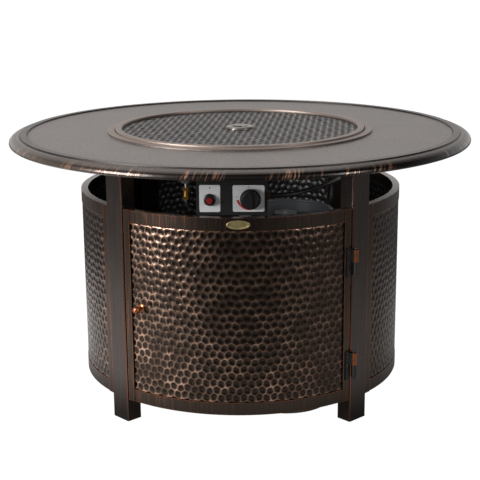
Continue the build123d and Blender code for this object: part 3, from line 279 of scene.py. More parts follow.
# Each noise: its size, its detail, where the rub starts and where it is full, and how strong it gets.
stroke_noises = [(STROKE_MM, 0.5, 0.55, 0.72, 1.0), (CLUSTER_MM, 1.0, 0.46, 0.6, 0.7)]
for size_mm, detail, bare, full, most in stroke_noises:
    noise = add_node(
        tree, "TexNoise", {"Vector": along_rim, "Scale": pattern_scale(size_mm), "Detail": detail}
    )
    mask = add_node(tree, "MapRange", {"Value": noise, "From Min": bare, "From Max": full, "To Max": most})
    rim_rub = add_node(tree, "Math", {0: rim_rub, 1: mask}, operation="MULTIPLY")
print("cloth strokes", len(tree.nodes), "nodes")

# %% [markdown]
# ## Edges, steps and gloss of the top
# Copper also shows on the collar round the lid and on the rim's lower edge. The two steps of the border
# band get thin dark lines of painted shade, and the collar is painted lighter, a painted highlight. The rim
# is glossier than the field and is painted near black as shade, and lighter on the left as painted light.
# Each layer is mixed over the one before it.

# %% Cast top: edges, steps and gloss
BORDER_OUTER = 0.509
BORDER_INNER = 0.492
STEP_HALF_WIDTH = 0.0013
RIM_EDGE = 0.606
COLLAR_EDGE = 0.6258

on_collar = add_node(tree, "Math", {0: spot["Z"], 1: COLLAR_EDGE}, operation="GREATER_THAN")
on_rim_edge = add_node(tree, "Math", {0: spot["Z"], 1: RIM_EDGE}, operation="LESS_THAN")
rubbed_zone = add_node(tree, "Math", {0: on_collar, 1: on_rim_edge}, operation="ADD")
edges = rubbed_edges(tree, place, 2.0)
edge_rub = add_node(tree, "Math", {0: edges, 1: rubbed_zone}, operation="MULTIPLY")
all_rub = add_node(tree, "Math", {0: rim_rub, 1: edge_rub}, operation="MAXIMUM")
# The rim is painted near black as painted shade, and lighter towards the left as painted light from the key
# lamp.
left = add_node(tree, "MapRange", {"Value": spot["X"], "From Min": -0.05, "From Max": -0.35})
layers = [(on_rim, layered(tree, "#120e0c", [(left, "#4a413c")]))]
flat_place = add_node(tree, "VectorMath", {0: place, 1: (1.0, 1.0, 0.0)}, operation="MULTIPLY")
reach = add_node(tree, "VectorMath", {0: flat_place}, operation="LENGTH")
# Thin dark lines at the two border steps: painted shade where shade falls in the steps.
for radius in (BORDER_INNER, BORDER_OUTER):
    step_shade = add_node(tree, "Math", {0: reach, 1: radius, 2: STEP_HALF_WIDTH}, operation="COMPARE")
    layers.append((step_shade, "#1c1815"))
# The collar is painted lighter than the field, a painted highlight; the copper rub over it is real wear.
layers += [(on_collar, "#7c6e66"), (all_rub, "#cf9a7c")]
coat = layered(tree, field, layers)
metal = add_node(tree, "MapRange", {"Value": all_rub, "To Min": 0.6, "To Max": 0.9})
field_gloss = add_node(tree, "MapRange", {"Value": grit, "To Min": 0.36, "To Max": 0.52})
gloss = add_node(tree, "Mix", {"Factor": on_rim, "A": field_gloss, "B": 0.26})
height = add_node(tree, "Math", {0: grit, 1: on_field}, operation="MULTIPLY")
grain = add_node(tree, "Bump", {"Height": height, "Strength": 0.3, "Distance": 0.4 * MM})
feed(shader, {"Base Color": coat, "Metallic": metal, "Roughness": gloss, "Normal": grain})
print("cast top finish", len(tree.nodes), "nodes")

# %% [markdown]
# ## Frame tubes
# Rails and stiles are aluminium tube with the same coat, brushed lengthways, so the noise is stretched
# along Z. Their edges are rubbed to copper. Red strokes of the cloth are drawn only on the left side of the
# base, where the key light falls: real marks, kept to the lit side as a painted highlight.

# %% Frame finish


def brushed_coat(name, grain_mm, stretch, dark, light):
    """Bronze coat that is brushed lengthways, with the nodes that a rub is added to."""
    material, tree, shader, place = new_material(name, Metallic=0.95)
    lengthways = add_node(tree, "Mapping", {"Vector": place, "Scale": (1.0, 1.0, stretch)})
    brush = add_node(
        tree, "TexNoise", {"Vector": lengthways, "Scale": pattern_scale(grain_mm), "Detail": 3.0}
    )
    gloss = add_node(tree, "MapRange", {"Value": brush, "To Min": 0.22, "To Max": 0.3})
    coat = layered(tree, dark, [(brush, light)])
    feed(shader, {"Roughness": gloss})
    return material, tree, shader, place, brush, coat


# Brushed coat: long brown streaks, with warm copper lines where two faces meet.
frame_coat, tree, shader, place, brush, coat = brushed_coat(
    "brushed_bronze_coat", 4.0, 0.06, "#40362f", "#594d45"
)
red_marks = add_node(tree, "MapRange", {"Value": brush, "From Min": 0.55, "From Max": 0.75, "To Max": 0.6})
sideways = add_node(tree, "SeparateXYZ", {0: place}).outputs["X"]
# Red cloth strokes are real marks, but they are kept to the left side, where the key light falls: a painted
# highlight.
left = add_node(tree, "MapRange", {"Value": sideways, "From Min": 0.05, "From Max": -0.15, "To Min": 0.1})
strokes = add_node(tree, "Math", {0: red_marks, 1: left}, operation="MULTIPLY")
coat = layered(tree, coat, [(strokes, "#9a5a40"), (rubbed_edges(tree, place, 2.2), "#b87048")])
feed(shader, {"Base Color": coat})
print("frame finish", len(tree.nodes), "nodes")

# %% [markdown]
# ## Legs
# The legs' corners are rounded, so a bevelled normal finds no edge on them. There the direction of the
# normal itself tells: the legs stand at 45 degrees, so on a flat side its X and Y are alike, and on a
# corner one of them is near zero. The mounting plates face up, and are left out by their Z.

# %% Leg finish
# Brushed coat of the legs: a shade greyer, with a copper line down each rounded corner.
leg_coat, tree, shader, place, brush, coat = brushed_coat(
    "leg_bronze_coat", 5.0, 0.05, "#473f3b", "#5c5450"
)
facing = add_node(tree, "TexCoord").outputs["Normal"]
sides = add_node(tree, "SeparateXYZ", {0: facing}).outputs
product = add_node(tree, "Math", {0: sides["X"], 1: sides["Y"]}, operation="MULTIPLY")
flatness = add_node(tree, "Math", {0: product}, operation="ABSOLUTE")
corner = add_node(tree, "MapRange", {"Value": flatness, "From Min": 0.3, "From Max": 0.1})
upright = add_node(tree, "Math", {0: sides["Z"]}, operation="ABSOLUTE")
not_plate = add_node(tree, "Math", {0: upright, 1: 0.4}, operation="LESS_THAN")
corner_rub = add_node(tree, "Math", {0: corner, 1: not_plate}, operation="MULTIPLY")
coat = layered(tree, coat, [(corner_rub, "#b06a45")])
feed(shader, {"Base Color": coat})
print("leg finish", len(tree.nodes), "nodes")

# %% [markdown]
# ## Hammered finish
# The sheets are embossed with shallow bowls that meet in sharp ridges. The paint stays dark in the bowls
# and is rubbed off on the ridges, most of all where three ridges meet. The relief writes an attribute
# called ridge, from 0 in a bowl to 1 where ridges meet, so colour and gloss follow the same shape. A
# painted pattern would slide off the relief; an attribute can't.

# %% Hammered finish
PRESSURE_MM = 45.0
SPECKLE_MM = 3.0
# Share of the copper that is left where it is painted weaker as shade.
SHADED_RUB_SHARE = 0.32
# Where the copper on the sheets is painted weaker, as painted shade on the right and the back, away from
# the
# key lamp: axis, last strong place and first weak place.
SHEET_SHADE_FADES = [("X", 0.05, 0.2), ("Y", -0.27, -0.2)]


def hammered_finish(name, bowl_dark, bowl_light, ridge_colour, bowl_rough, ridge_rough, shade_fades):
    """Dark metal in the bowls, rubbed metal on the ridges, and near black on the hidden face as painted
    shade.
    """
    material, tree, shader, place = new_material(name)
    ridge = add_node(tree, "Attribute", attribute_name="ridge").outputs["Fac"]
    outside = add_node(tree, "Attribute", attribute_name="outside").outputs["Fac"]
    patchy = add_node(
        tree, "TexNoise", {"Vector": place, "Scale": pattern_scale(PRESSURE_MM), "Detail": 5.0}
    )
    pressure = add_node(
        tree, "MapRange", {"Value": patchy, "From Min": 0.4, "From Max": 0.62, "To Min": 0.22}
    )
    rub = add_node(tree, "Math", {0: ridge, 1: pressure}, operation="MULTIPLY")
    spot = add_node(tree, "SeparateXYZ", {0: place}).outputs
    # The copper rub is real; its fade towards the right and the back is painted shade.
    for axis, strong, weak in shade_fades:
        shade_fade = add_node(tree, "MapRange", {
            "Value": spot[axis], "From Min": strong, "From Max": weak, "To Min": 1.0, "To Max": SHADED_RUB_SHARE
        })
        rub = add_node(tree, "Math", {0: rub, 1: shade_fade}, operation="MULTIPLY")
    speckle = add_node(
        tree, "TexNoise", {"Vector": place, "Scale": pattern_scale(SPECKLE_MM), "Detail": 2.0}
    )
    coat = layered(tree, bowl_dark, [(speckle, bowl_light), (rub, ridge_colour)])
    # The hidden inner face is painted near black: painted shade of the dark inside.
    coat_and_shaded_back = layered(tree, "#080706", [(outside, coat)])
    metal = add_node(tree, "MapRange", {"Value": outside, "To Min": 0.1})
    gloss = add_node(tree, "MapRange", {"Value": rub, "To Min": bowl_rough, "To Max": ridge_rough})
    dull_back = add_node(tree, "Mix", {"Factor": outside, "A": 0.36, "B": gloss})
    feed(shader, {"Base Color": coat_and_shaded_back, "Metallic": metal, "Roughness": dull_back})
    return material


# Hammered bronze: dark bowls in a web of worn copper that glints where the light grazes it.
sheet_coat = hammered_finish(
    "hammered_bronze_coat", "#362c27", "#4c413a", "#fccdb0", 0.26, 0.24, SHEET_SHADE_FADES
)
# Hammered pewter: the lid's greyer metal, rubbed evenly, so its weave of ridges reads as silver on black.
lid_coat = hammered_finish("hammered_pewter_coat", "#221c18", "#302822", "#94857c", 0.32, 0.32, [])
print("hammered finishes", sheet_coat.name, lid_coat.name)

# %% [markdown]
# ## Hammer marks
# The real sheet comes off an embossing roll, so its hammer marks repeat: a tile about 33 mm square holds
# four blows. Sculpting them would take days, and a Voronoi texture has no such repeat. So a lattice of
# points is laid for each of the four blows, and every vertex asks for its distance to the nearest and the
# second nearest blow: where these are equal, two bowls meet in a ridge.

# %% Hammer marks
TILE_SIZE = 0.0326
# Places of the four blows in a tile, as shares of its side.
HAMMER_BLOWS = [(0.0, 0.0), (0.527, -0.138), (-0.227, -0.475), (0.297, -0.567)]
SPARE_TILES = 6.0


def add_hammer_marks(tree, reach_x, reach_y, tile, turn, start):
    """Fields over a flat sheet: the way from a blow to its ridge, and how near ridges meet."""
    sizes = {}
    for axis, reach in (("X", reach_x), ("Y", reach_y)):
        tiles = add_node(tree, "Math", {0: reach, 1: tile}, operation="DIVIDE")
        whole = add_node(tree, "Math", {0: tiles}, operation="CEIL")
        count = add_node(tree, "Math", {0: whole, 1: SPARE_TILES}, operation="ADD")
        gaps = add_node(tree, "Math", {0: count, 1: 1.0}, operation="SUBTRACT")
        sizes["Vertices " + axis] = count
        sizes["Size " + axis] = add_node(tree, "Math", {0: gaps, 1: tile}, operation="MULTIPLY")
    lattice = add_node(tree, "MeshGrid", sizes)
    spot = add_node(tree, "InputPosition")
    flat_spot = add_node(tree, "VectorMath", {0: spot, 1: (1.0, 1.0, 0.0)}, operation="MULTIPLY")
    distances = []
    for across, along in HAMMER_BLOWS:
        shift = add_node(tree, "VectorMath", {0: (across, along, 0.0), "Scale": tile}, operation="SCALE")
        moved = add_node(tree, "Transform", {"Geometry": lattice, "Translation": shift})
        placed = add_node(tree, "Transform", {"Geometry": moved, "Translation": start, "Rotation": turn})
        nearest = add_node(
            tree, "Proximity", {0: placed, "Sample Position": flat_spot}, target_element="POINTS"
        )
        distances.append(nearest.outputs["Distance"])
    nearer, farther = (
        [
            add_node(tree, "Math", {0: pair[0], 1: pair[1]}, operation=choice)
            for pair in (distances[:2], distances[2:])
        ]
        for choice in ("MINIMUM", "MAXIMUM")
    )
    first = add_node(tree, "Math", {0: nearer[0], 1: nearer[1]}, operation="MINIMUM")
    other = add_node(tree, "Math", {0: nearer[0], 1: nearer[1]}, operation="MAXIMUM")
    spare = add_node(tree, "Math", {0: farther[0], 1: farther[1]}, operation="MINIMUM")
    second = add_node(tree, "Math", {0: other, 1: spare}, operation="MINIMUM")
    both = add_node(tree, "Math", {0: first, 1: second}, operation="ADD")
    middle = add_node(tree, "Math", {0: both, 1: 2.0}, operation="DIVIDE")
    share = add_node(tree, "Math", {0: first, 1: middle}, operation="DIVIDE", use_clamp=True)
    in_tiles = add_node(tree, "Math", {0: first, 1: tile}, operation="DIVIDE")
    meeting = add_node(
        tree, "MapRange", {"Value": in_tiles, "From Min": 0.25, "From Max": 0.34, "To Min": 0.45}
    )
    return share, meeting


print("hammer blows in a tile", len(HAMMER_BLOWS))

# %% [markdown]
# ## Embossing a flat sheet
# A press pushes the metal down without making it thinner, so both faces sink together. The flat grid is
# extruded to its thickness, closed with a flipped copy as its back, and each vertex sinks by a parabola of
# its share of the way to the ridge. A parabola has its steepest slope at the ridge, which keeps the ridge
# sharp.

# %% Embossing a flat sheet
BOWL_DEPTH = 0.0016
SHEET_THICKNESS = 0.0005
WELD_DISTANCE = 1e-5


def add_embossing(tree, flat_mesh, marks, meeting, thickness, depth):
    """Give a flat mesh its thickness, sink the bowls through both faces and store the ridge attribute."""
    walls = add_node(
        tree, "ExtrudeMesh",
        {"Mesh": flat_mesh, "Offset": (0.0, 0.0, 1.0), "Offset Scale": thickness, "Individual": False},
        mode="FACES",
    )
    faced = add_node(
        tree, "StoreNamedAttribute",
        {"Geometry": walls, "Name": "outside", "Value": walls.outputs["Top"]},
        domain="FACE",
    )
    back = add_node(tree, "FlipFaces", {"Mesh": flat_mesh})
    shell = add_node(tree, "JoinGeometry", {"Geometry": faced})
    feed(shell, {"Geometry": back})
    closed = add_node(tree, "MergeByDistance", {"Geometry": shell, "Distance": WELD_DISTANCE})
    square = add_node(tree, "Math", {0: marks, 1: 2.0}, operation="POWER")
    bowl_share = add_node(tree, "Math", {0: square, 1: 1.0}, operation="SUBTRACT")
    lower = add_node(tree, "Math", {0: bowl_share, 1: depth}, operation="MULTIPLY")
    ridge = add_node(tree, "MapRange", {"Value": marks, "From Min": 0.76, "From Max": 0.97})
    worn_ridge = add_node(tree, "Math", {0: ridge, 1: meeting}, operation="MULTIPLY")
    marked = add_node(
        tree, "StoreNamedAttribute", {"Geometry": closed, "Name": "ridge", "Value": worn_ridge}
    )
    drop = add_node(tree, "CombineXYZ", {"Z": lower})
    return add_node(tree, "SetPosition", {"Geometry": marked, "Offset": drop})


print("bowls", BOWL_DEPTH / MM, "mm deep")

# %% [markdown]
# ## From a tree to a plain mesh
# Each tree has named inputs for its sizes, so one tree can make several pieces. A modifier runs it on an
# empty object, and the evaluated result is kept as a plain mesh, because the model is handed on without
# modifiers.

# %% Trees and plain pieces
SOCKET_KINDS = {
    float: "NodeSocketFloat",
    int: "NodeSocketInt",
    tuple: "NodeSocketVector",
    type(None): "NodeSocketGeometry",
}


def new_tree(name, sizes):
    """Geometry tree with named inputs, their identifiers, and their sockets inside the tree."""
    tree = bpy.data.node_groups.new(name, "GeometryNodeTree")
    identifiers = {}
    for label, value in sizes.items():
        socket = tree.interface.new_socket(label, in_out="INPUT", socket_type=SOCKET_KINDS[type(value)])
        if value is not None:
            socket.default_value = value
        identifiers[label] = socket.identifier
    return tree, identifiers, add_node(tree, "NodeGroupInput").outputs


def finish_tree(tree, geometry, material=None):
    """End a tree: real geometry, smooth, and in one finish where it has one."""
    real = add_node(tree, "RealizeInstances", {"Geometry": geometry})
    made = add_node(tree, "SetShadeSmooth", {"Geometry": real})
    if material:
        made = add_node(tree, "SetMaterial", {"Geometry": made, "Material": material})
    tree.interface.new_socket("Geometry", in_out="OUTPUT", socket_type="NodeSocketGeometry")
    add_node(tree, "NodeGroupOutput", {"Geometry": made})


def plain_piece(name, tree, values, start_mesh=None):
    """Run a tree on a new object and keep the result as a plain mesh at the origin."""
    maker = add_object(name + "_maker", start_mesh or bpy.data.meshes.new(name + "_maker"))
    modifier = maker.modifiers.new("maker", "NODES")
    modifier.node_group = tree
    for identifier, value in values.items():
        modifier[identifier] = value
    depsgraph = bpy.context.evaluated_depsgraph_get()
    mesh = bpy.data.meshes.new_from_object(maker.evaluated_get(depsgraph), depsgraph=depsgraph)
    mesh.name = name
    for slot in reversed(range(len(mesh.materials))):
        if mesh.materials[slot] is None:
            mesh.materials.pop(index=slot)
    maker.modifiers.remove(modifier)
    bpy.data.objects.remove(maker)
    return add_object(name, mesh)


print("kinds of tree input", len(SOCKET_KINDS))

# %% [markdown]
# ## Curved sheets
# The door and the three panels are one kind of sheet, rolled to the drum's radius. The tree embosses it
# flat, as the roll does, and only then bends it: the way along the sheet becomes an angle, and the depth a
# radius. Bending first would squeeze the bowls.

# %% Curved sheet tree
DRUM_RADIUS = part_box("right_panel_sheet")[1].x
panel_tree, panel_inputs, given = new_tree("embossed_curved_sheet", {
    "Arc Length": 0.48,
    "Height": 0.38,
    "Middle Height": 0.276,
    "Drum Radius": DRUM_RADIUS,
    "Direction": 0.0,
    "Columns": 235,
    "Rows": 181,
    "Tile": TILE_SIZE,
    "Bowl Depth": BOWL_DEPTH,
    "Thickness": SHEET_THICKNESS,
    "Pattern Start": (0.005, 0.0177, 0.0),
})
marks, meeting = add_hammer_marks(
    panel_tree, given["Arc Length"], given["Height"], given["Tile"], (0.0, 0.0, 0.0), given["Pattern Start"]
)
grid = add_node(panel_tree, "MeshGrid", {
    "Size X": given["Arc Length"],
    "Size Y": given["Height"],
    "Vertices X": given["Columns"],
    "Vertices Y": given["Rows"],
})
below = add_node(panel_tree, "Math", {0: given["Thickness"], 1: -1.0}, operation="MULTIPLY")
down = add_node(panel_tree, "CombineXYZ", {"Z": below})
laid = add_node(panel_tree, "Transform", {"Geometry": grid, "Translation": down})
embossed = add_embossing(panel_tree, laid, marks, meeting, given["Thickness"], given["Bowl Depth"])
spot = add_node(panel_tree, "InputPosition")
flat = add_node(panel_tree, "SeparateXYZ", {0: spot}).outputs
sweep = add_node(panel_tree, "Math", {0: flat["X"], 1: given["Drum Radius"]}, operation="DIVIDE")
heading = add_node(panel_tree, "Math", {0: sweep, 1: given["Direction"]}, operation="ADD")
radius = add_node(panel_tree, "Math", {0: flat["Z"], 1: given["Drum Radius"]}, operation="ADD")
lifted = add_node(panel_tree, "Math", {0: flat["Y"], 1: given["Middle Height"]}, operation="ADD")
bent = {"Z": lifted}
for axis, turn in (("X", "COSINE"), ("Y", "SINE")):
    turned = add_node(panel_tree, "Math", {0: heading}, operation=turn)
    bent[axis] = add_node(panel_tree, "Math", {0: turned, 1: radius}, operation="MULTIPLY")
on_drum = add_node(panel_tree, "CombineXYZ", bent)
rolled = add_node(panel_tree, "SetPosition", {"Geometry": embossed, "Position": on_drum})
finish_tree(panel_tree, rolled, sheet_coat)
print("curved sheet tree", len(panel_tree.nodes), "nodes")

# %% [markdown]
# ## The four sheets
# Each sheet fills the window of its frame between two stiles. The arc is what is left of a quarter turn
# after half a leg, the gap beside it and a stile are taken off at each end. The door has the wider gap, so
# that it can swing, and its sheet rides on the door.

# %% The four sheets
LEG_HALF = 0.0265
STILE = 0.017
DOOR_GAP = 0.003
PANEL_GAP = 0.001
CAD_SHEET_THICKNESS = 0.0025
sheets = {
    "door": (270.0, DOOR_GAP, "door"),
    "right_panel": (0.0, PANEL_GAP, "table"),
    "back_panel": (90.0, PANEL_GAP, "table"),
    "left_panel": (180.0, PANEL_GAP, "table"),
}
for name, (direction, gap, body) in sheets.items():
    low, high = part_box(name + "_sheet")
    half_turn = pi / 4 - asin((LEG_HALF + gap + STILE) / (DRUM_RADIUS - CAD_SHEET_THICKNESS))
    sheet_sizes = {
        "Arc Length": 2 * half_turn * DRUM_RADIUS,
        "Height": high.z - low.z,
        "Middle Height": (high.z + low.z) / 2,
        "Direction": radians(direction),
    }
    values = {panel_inputs[label]: size for label, size in sheet_sizes.items()}
    sheet = plain_piece(name + "_hammered_sheet", panel_tree, values)
    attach(sheet, body)
    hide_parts(name + "_sheet")
    print(sheet.name, len(sheet.data.polygons), "faces", list(sheet.data.materials))

# %% [markdown]
# ## Lid disc
# The lid's middle is the same embossed sheet, laid at an angle to the door's pattern and sunk below its
# rim. The tree cuts the grid to a disc with a hole for the finger pull before it is embossed. A circle fill
# would have uneven faces, and the bowls need an even grid.

# %% Lid disc
LID_RADIUS = 0.2905
DISC_RADIUS = 0.2755
DISC_OVERLAP = 0.002
DISC_THICKNESS = 0.004
LID_BOWL_DEPTH = 0.002
PULL_RISE = 0.0045
RIM_BOTTOM = 0.621
LID_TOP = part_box("lid")[1].z
lid_tree, _, given = new_tree("embossed_lid", {
    "Disc Radius": DISC_RADIUS + DISC_OVERLAP,
    "Hole Radius": 0.0198,
    "Disc Top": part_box("lid_handle")[1].z - PULL_RISE,
    "Rim Radius": (LID_RADIUS + DISC_RADIUS) / 2,
    "Rim Width": LID_RADIUS - DISC_RADIUS,
    "Rim Height": LID_TOP - RIM_BOTTOM,
    "Rim Middle": (LID_TOP + RIM_BOTTOM) / 2,
    "Tile": TILE_SIZE,
    "Pattern Turn": (0.0, 0.0, radians(-31.0)),
    "Lines": 234,
})
across = add_node(lid_tree, "Math", {0: given["Disc Radius"], 1: 2.0}, operation="MULTIPLY")
marks, meeting = add_hammer_marks(
    lid_tree, across, across, given["Tile"], given["Pattern Turn"], (0.0, 0.0, 0.0)
)
grid = add_node(lid_tree, "MeshGrid", {
    "Size X": across,
    "Size Y": across,
    "Vertices X": given["Lines"],
    "Vertices Y": given["Lines"],
})
spot = add_node(lid_tree, "InputPosition")
from_middle = add_node(lid_tree, "VectorMath", {0: spot}, operation="LENGTH")
past_edge = add_node(lid_tree, "Math", {0: from_middle, 1: given["Disc Radius"]}, operation="GREATER_THAN")
in_hole = add_node(lid_tree, "Math", {0: from_middle, 1: given["Hole Radius"]}, operation="LESS_THAN")
waste = add_node(lid_tree, "Math", {0: past_edge, 1: in_hole}, operation="MAXIMUM")
disc = add_node(lid_tree, "DeleteGeometry", {"Geometry": grid, "Selection": waste})
embossed = add_embossing(lid_tree, disc, marks, meeting, DISC_THICKNESS, LID_BOWL_DEPTH)
disc_level = add_node(lid_tree, "Math", {0: given["Disc Top"], 1: DISC_THICKNESS}, operation="SUBTRACT")
disc_lift = add_node(lid_tree, "CombineXYZ", {"Z": disc_level})
disc_placed = add_node(lid_tree, "Transform", {"Geometry": embossed, "Translation": disc_lift})
print("lid disc", len(lid_tree.nodes), "nodes")

# %% [markdown]
# ## Lid rim
# The rim is a flat ring of cast metal. A rectangle with rounded corners is swept round a circle, which
# gives the same section all the way, and then disc and rim are joined into one lid with two finishes.

# %% Lid rim and the whole lid
RIM_CORNER = 0.0012
RIM_STEPS = 180
section = add_node(
    lid_tree, "CurvePrimitiveQuadrilateral",
    {"Width": given["Rim Width"], "Height": given["Rim Height"]},
)
rounded = add_node(
    lid_tree, "FilletCurve", {"Curve": section, "Radius": RIM_CORNER, "Count": 3}, mode="POLY"
)
circle = add_node(
    lid_tree, "CurvePrimitiveCircle", {"Resolution": RIM_STEPS, "Radius": given["Rim Radius"]}
)
rim = add_node(lid_tree, "CurveToMesh", {"Curve": circle, "Profile Curve": rounded})
rim_lift = add_node(lid_tree, "CombineXYZ", {"Z": given["Rim Middle"]})
rim_placed = add_node(lid_tree, "Transform", {"Geometry": rim, "Translation": rim_lift})
lid_parts = add_node(lid_tree, "JoinGeometry")
for part, finish in ((disc_placed, lid_coat), (rim_placed, cast_top)):
    finished = add_node(lid_tree, "SetMaterial", {"Geometry": part, "Material": finish})
    feed(lid_parts, {"Geometry": finished})
finish_tree(lid_tree, lid_parts)
lid = plain_piece("embossed_lid", lid_tree, {})
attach(lid, "lid")
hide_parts("lid")
print(lid.name, len(lid.data.polygons), "faces", list(lid.data.materials))

# %% [markdown]
# ## Metals, plastics and paint of the fittings
# The fittings keep their CAD shapes, and each finish starts from what the real one is and how it was made.
# They differ in colour, grain and gloss and not in kind, so one function makes them all: two close shades
# in a noise that may be stretched along the brushing, and bright edges where handling wears them; on the
# badge's border the bright edge is a painted highlight.

# %% Finishes for the fittings
EVEN = (1.0, 1.0, 1.0)
WORN_EDGE_MM = 1.2


def fitting_finish(name, dark, light, patch_mm, stretch, rough, metal, edge=None):
    """Finish with two close shades, grain along one axis, and optional bright edges."""
    material, tree, shader, place = new_material(name, Metallic=metal)
    grained = add_node(tree, "Mapping", {"Vector": place, "Scale": stretch})
    noise = add_node(tree, "TexNoise", {"Vector": grained, "Scale": pattern_scale(patch_mm), "Detail": 4.0})
    layers = [(noise, light)]
    if edge:
        layers.append((rubbed_edges(tree, place, WORN_EDGE_MM), edge))
    shade = layered(tree, dark, layers)
    gloss = add_node(tree, "MapRange", {"Value": noise, "To Min": rough - 0.06, "To Max": rough + 0.08})
    bump = add_node(tree, "Bump", {"Height": noise, "Strength": 0.12, "Distance": 0.3 * MM})
    feed(shader, {"Base Color": shade, "Roughness": gloss, "Normal": bump})
    return material


finishes = {
    "cast_bronze": cast_top,
    "frame_bronze": frame_coat,
    "hammered_bronze": sheet_coat,
    "black_rubber": hose_rubber,
    # Copper plate, brushed: warm red-brown with upright streaks.
    "copper_bronze": fitting_finish(
        "brushed_copper_plate", "#7a4229", "#b4704a", 6, (1, 1, 0.2), 0.34, 0.9
    ),
    # Powder coat, satin: near black, so that only broad soft lights show.
    "black_metal": fitting_finish("satin_black_powder_coat", "#060606", "#0c0b0b", 4, EVEN, 0.5, 0.0),
    # Stainless sheet, satin: grey with faint upright rolling lines.
    "pan_steel": fitting_finish("satin_stainless", "#77736e", "#9a958e", 8, (1, 1, 0.15), 0.38, 1.0),
    # Zinc plate: bright, a little blotched.
    "zinc_steel": fitting_finish("zinc_plated_steel", "#a3a3a0", "#c6c5bf", 5, EVEN, 0.32, 1.0),
    # Anodised aluminium, brushed sideways: pale and even, almost like paper from the front.
    "silver_plate": fitting_finish(
        "brushed_anodised_aluminium", "#b2b2b2", "#c0c0c0", 3, (0.05, 1, 1), 0.42, 0.0
    ),
    # Die-cast aluminium: dull grey with a fine grain.
    "cast_aluminium": fitting_finish("die_cast_aluminium", "#8d8d8c", "#a9a9a6", 4, EVEN, 0.5, 0.9),
    # Brass, turned: yellow, with edges that handling keeps bright.
    "brass": fitting_finish("turned_brass", "#8a662c", "#c79d4f", 5, EVEN, 0.32, 1.0, edge="#e0c080"),
    # Ceramic, unglazed: chalky white.
    "white_ceramic": fitting_finish("unglazed_ceramic", "#d9d4c8", "#e8e4da", 6, EVEN, 0.7, 0.0),
    # Lava rock: dry, from black to rust.
    "lava": fitting_finish("porous_lava_rock", "#1d1512", "#4a3329", 5, EVEN, 0.9, 0.0),
    # Plastic, moulded: an even black and an even red with a low sheen.
    "black_plastic": fitting_finish("moulded_black_plastic", "#070707", "#0d0d0d", 2, EVEN, 0.45, 0.0),
    "red_plastic": fitting_finish("moulded_red_plastic", "#6a0e11", "#801417", 3, EVEN, 0.3, 0.0),
    # Cylinder paint: blue-grey, sprayed, in broad faint clouds.
    "grey_paint": fitting_finish("cylinder_grey_paint", "#45494d", "#565a5e", 40, EVEN, 0.42, 0.0),
}
# Pewter of the finger pull: grey metal that fingers have worn bright on its edges.
pull_pewter = fitting_finish("worn_pewter_pull", "#6d6762", "#98918a", 5, EVEN, 0.34, 0.9, edge="#c9c2ba")
for row in frame["record"]["subparts"]:
    finish = finishes[row["material_slot"]]
    if row["node"].endswith("_leg"):
        finish = leg_coat
    if row["node"] == "lid_handle":
        finish = pull_pewter
    for slot in nodes[row["node"]].material_slots:
        slot.link = "OBJECT"
        slot.material = finish

# %% [markdown]
# ## Hinges
# On each hinge the door's half of the barrel is rubbed to copper and the flat leaf stays black. Both belong
# to one piece, so it can't simply get a second material: the finish changes with the distance from the
# hinge pin.

# %% Hinge finish
HINGE_AXIS = (0.255619, -0.286731, 0.0)
BARREL_EDGE = 0.0058
LEAF_START = 0.0068

# Hinge: a copper barrel that goes over into the satin black of its leaf.
hinge_finish, tree, shader, place = new_material("rubbed_hinge_barrel", Roughness=0.38)
flat_place = add_node(tree, "VectorMath", {0: place, 1: (1.0, 1.0, 0.0)}, operation="MULTIPLY")
from_pin = add_node(tree, "VectorMath", {0: flat_place, 1: HINGE_AXIS}, operation="DISTANCE")
barrel = add_node(tree, "MapRange", {"Value": from_pin, "From Min": LEAF_START, "From Max": BARREL_EDGE})
scuffs = add_node(tree, "TexNoise", {"Vector": place, "Scale": pattern_scale(5.0), "Detail": 3.0})
copper = layered(tree, "#6b3a24", [(scuffs, "#a4643f")])
shade = layered(tree, "#0d0c0c", [(barrel, copper)])
metal = add_node(tree, "MapRange", {"Value": barrel, "To Min": 0.1, "To Max": 0.9})
feed(shader, {"Base Color": shade, "Metallic": metal})
for level in ("upper", "lower"):
    for slot in nodes[level + "_hinge_leaf"].material_slots:
        slot.material = hinge_finish
print("hinge finish", len(tree.nodes), "nodes")

# %% [markdown]
# ## Lava rocks
# The CAD rocks are plain faceted lumps. A tree welds their triangles, rounds them by subdivision, and pits
# the surface with noise. Pits only go inwards, so each rock stays inside the room that its CAD solid holds.

# %% Lava rocks
rock_tree, _, given = new_tree("pitted_rocks", {
    "Geometry": None,
    "Pit Depth": 0.0028,
    "Pit Size": pattern_scale(9.0),
})
welded = add_node(rock_tree, "MergeByDistance", {"Geometry": given["Geometry"], "Distance": WELD_DISTANCE})
round_rocks = add_node(rock_tree, "SubdivisionSurface", {"Mesh": welded, "Level": 2})
pits = add_node(rock_tree, "TexNoise", {"Scale": given["Pit Size"], "Detail": 3.0})
inward = add_node(rock_tree, "Math", {0: pits, 1: -1.0}, operation="MULTIPLY")
depth = add_node(rock_tree, "Math", {0: inward, 1: given["Pit Depth"]}, operation="MULTIPLY")
outward = add_node(rock_tree, "InputNormal").outputs["Normal"]
pitted = add_node(rock_tree, "VectorMath", {0: outward, "Scale": depth}, operation="SCALE")
worn_rocks = add_node(rock_tree, "SetPosition", {"Geometry": round_rocks, "Offset": pitted})
finish_tree(rock_tree, worn_rocks, finishes["lava"])
rocks = plain_piece("pitted_lava_rocks", rock_tree, {}, nodes["lava_rocks"].data.copy())
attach(rocks, "table")
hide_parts("lava_rocks")
print(rocks.name, len(rocks.data.polygons), "faces")

# %% [markdown]
# ## Marks on the control plates
# The dial has a red band that thins out round the knob and two plain ticks, and the igniter plate has a
# small red dot. They are printed on, and an image would do, but thin flats with real edges stay crisp at
# any size.

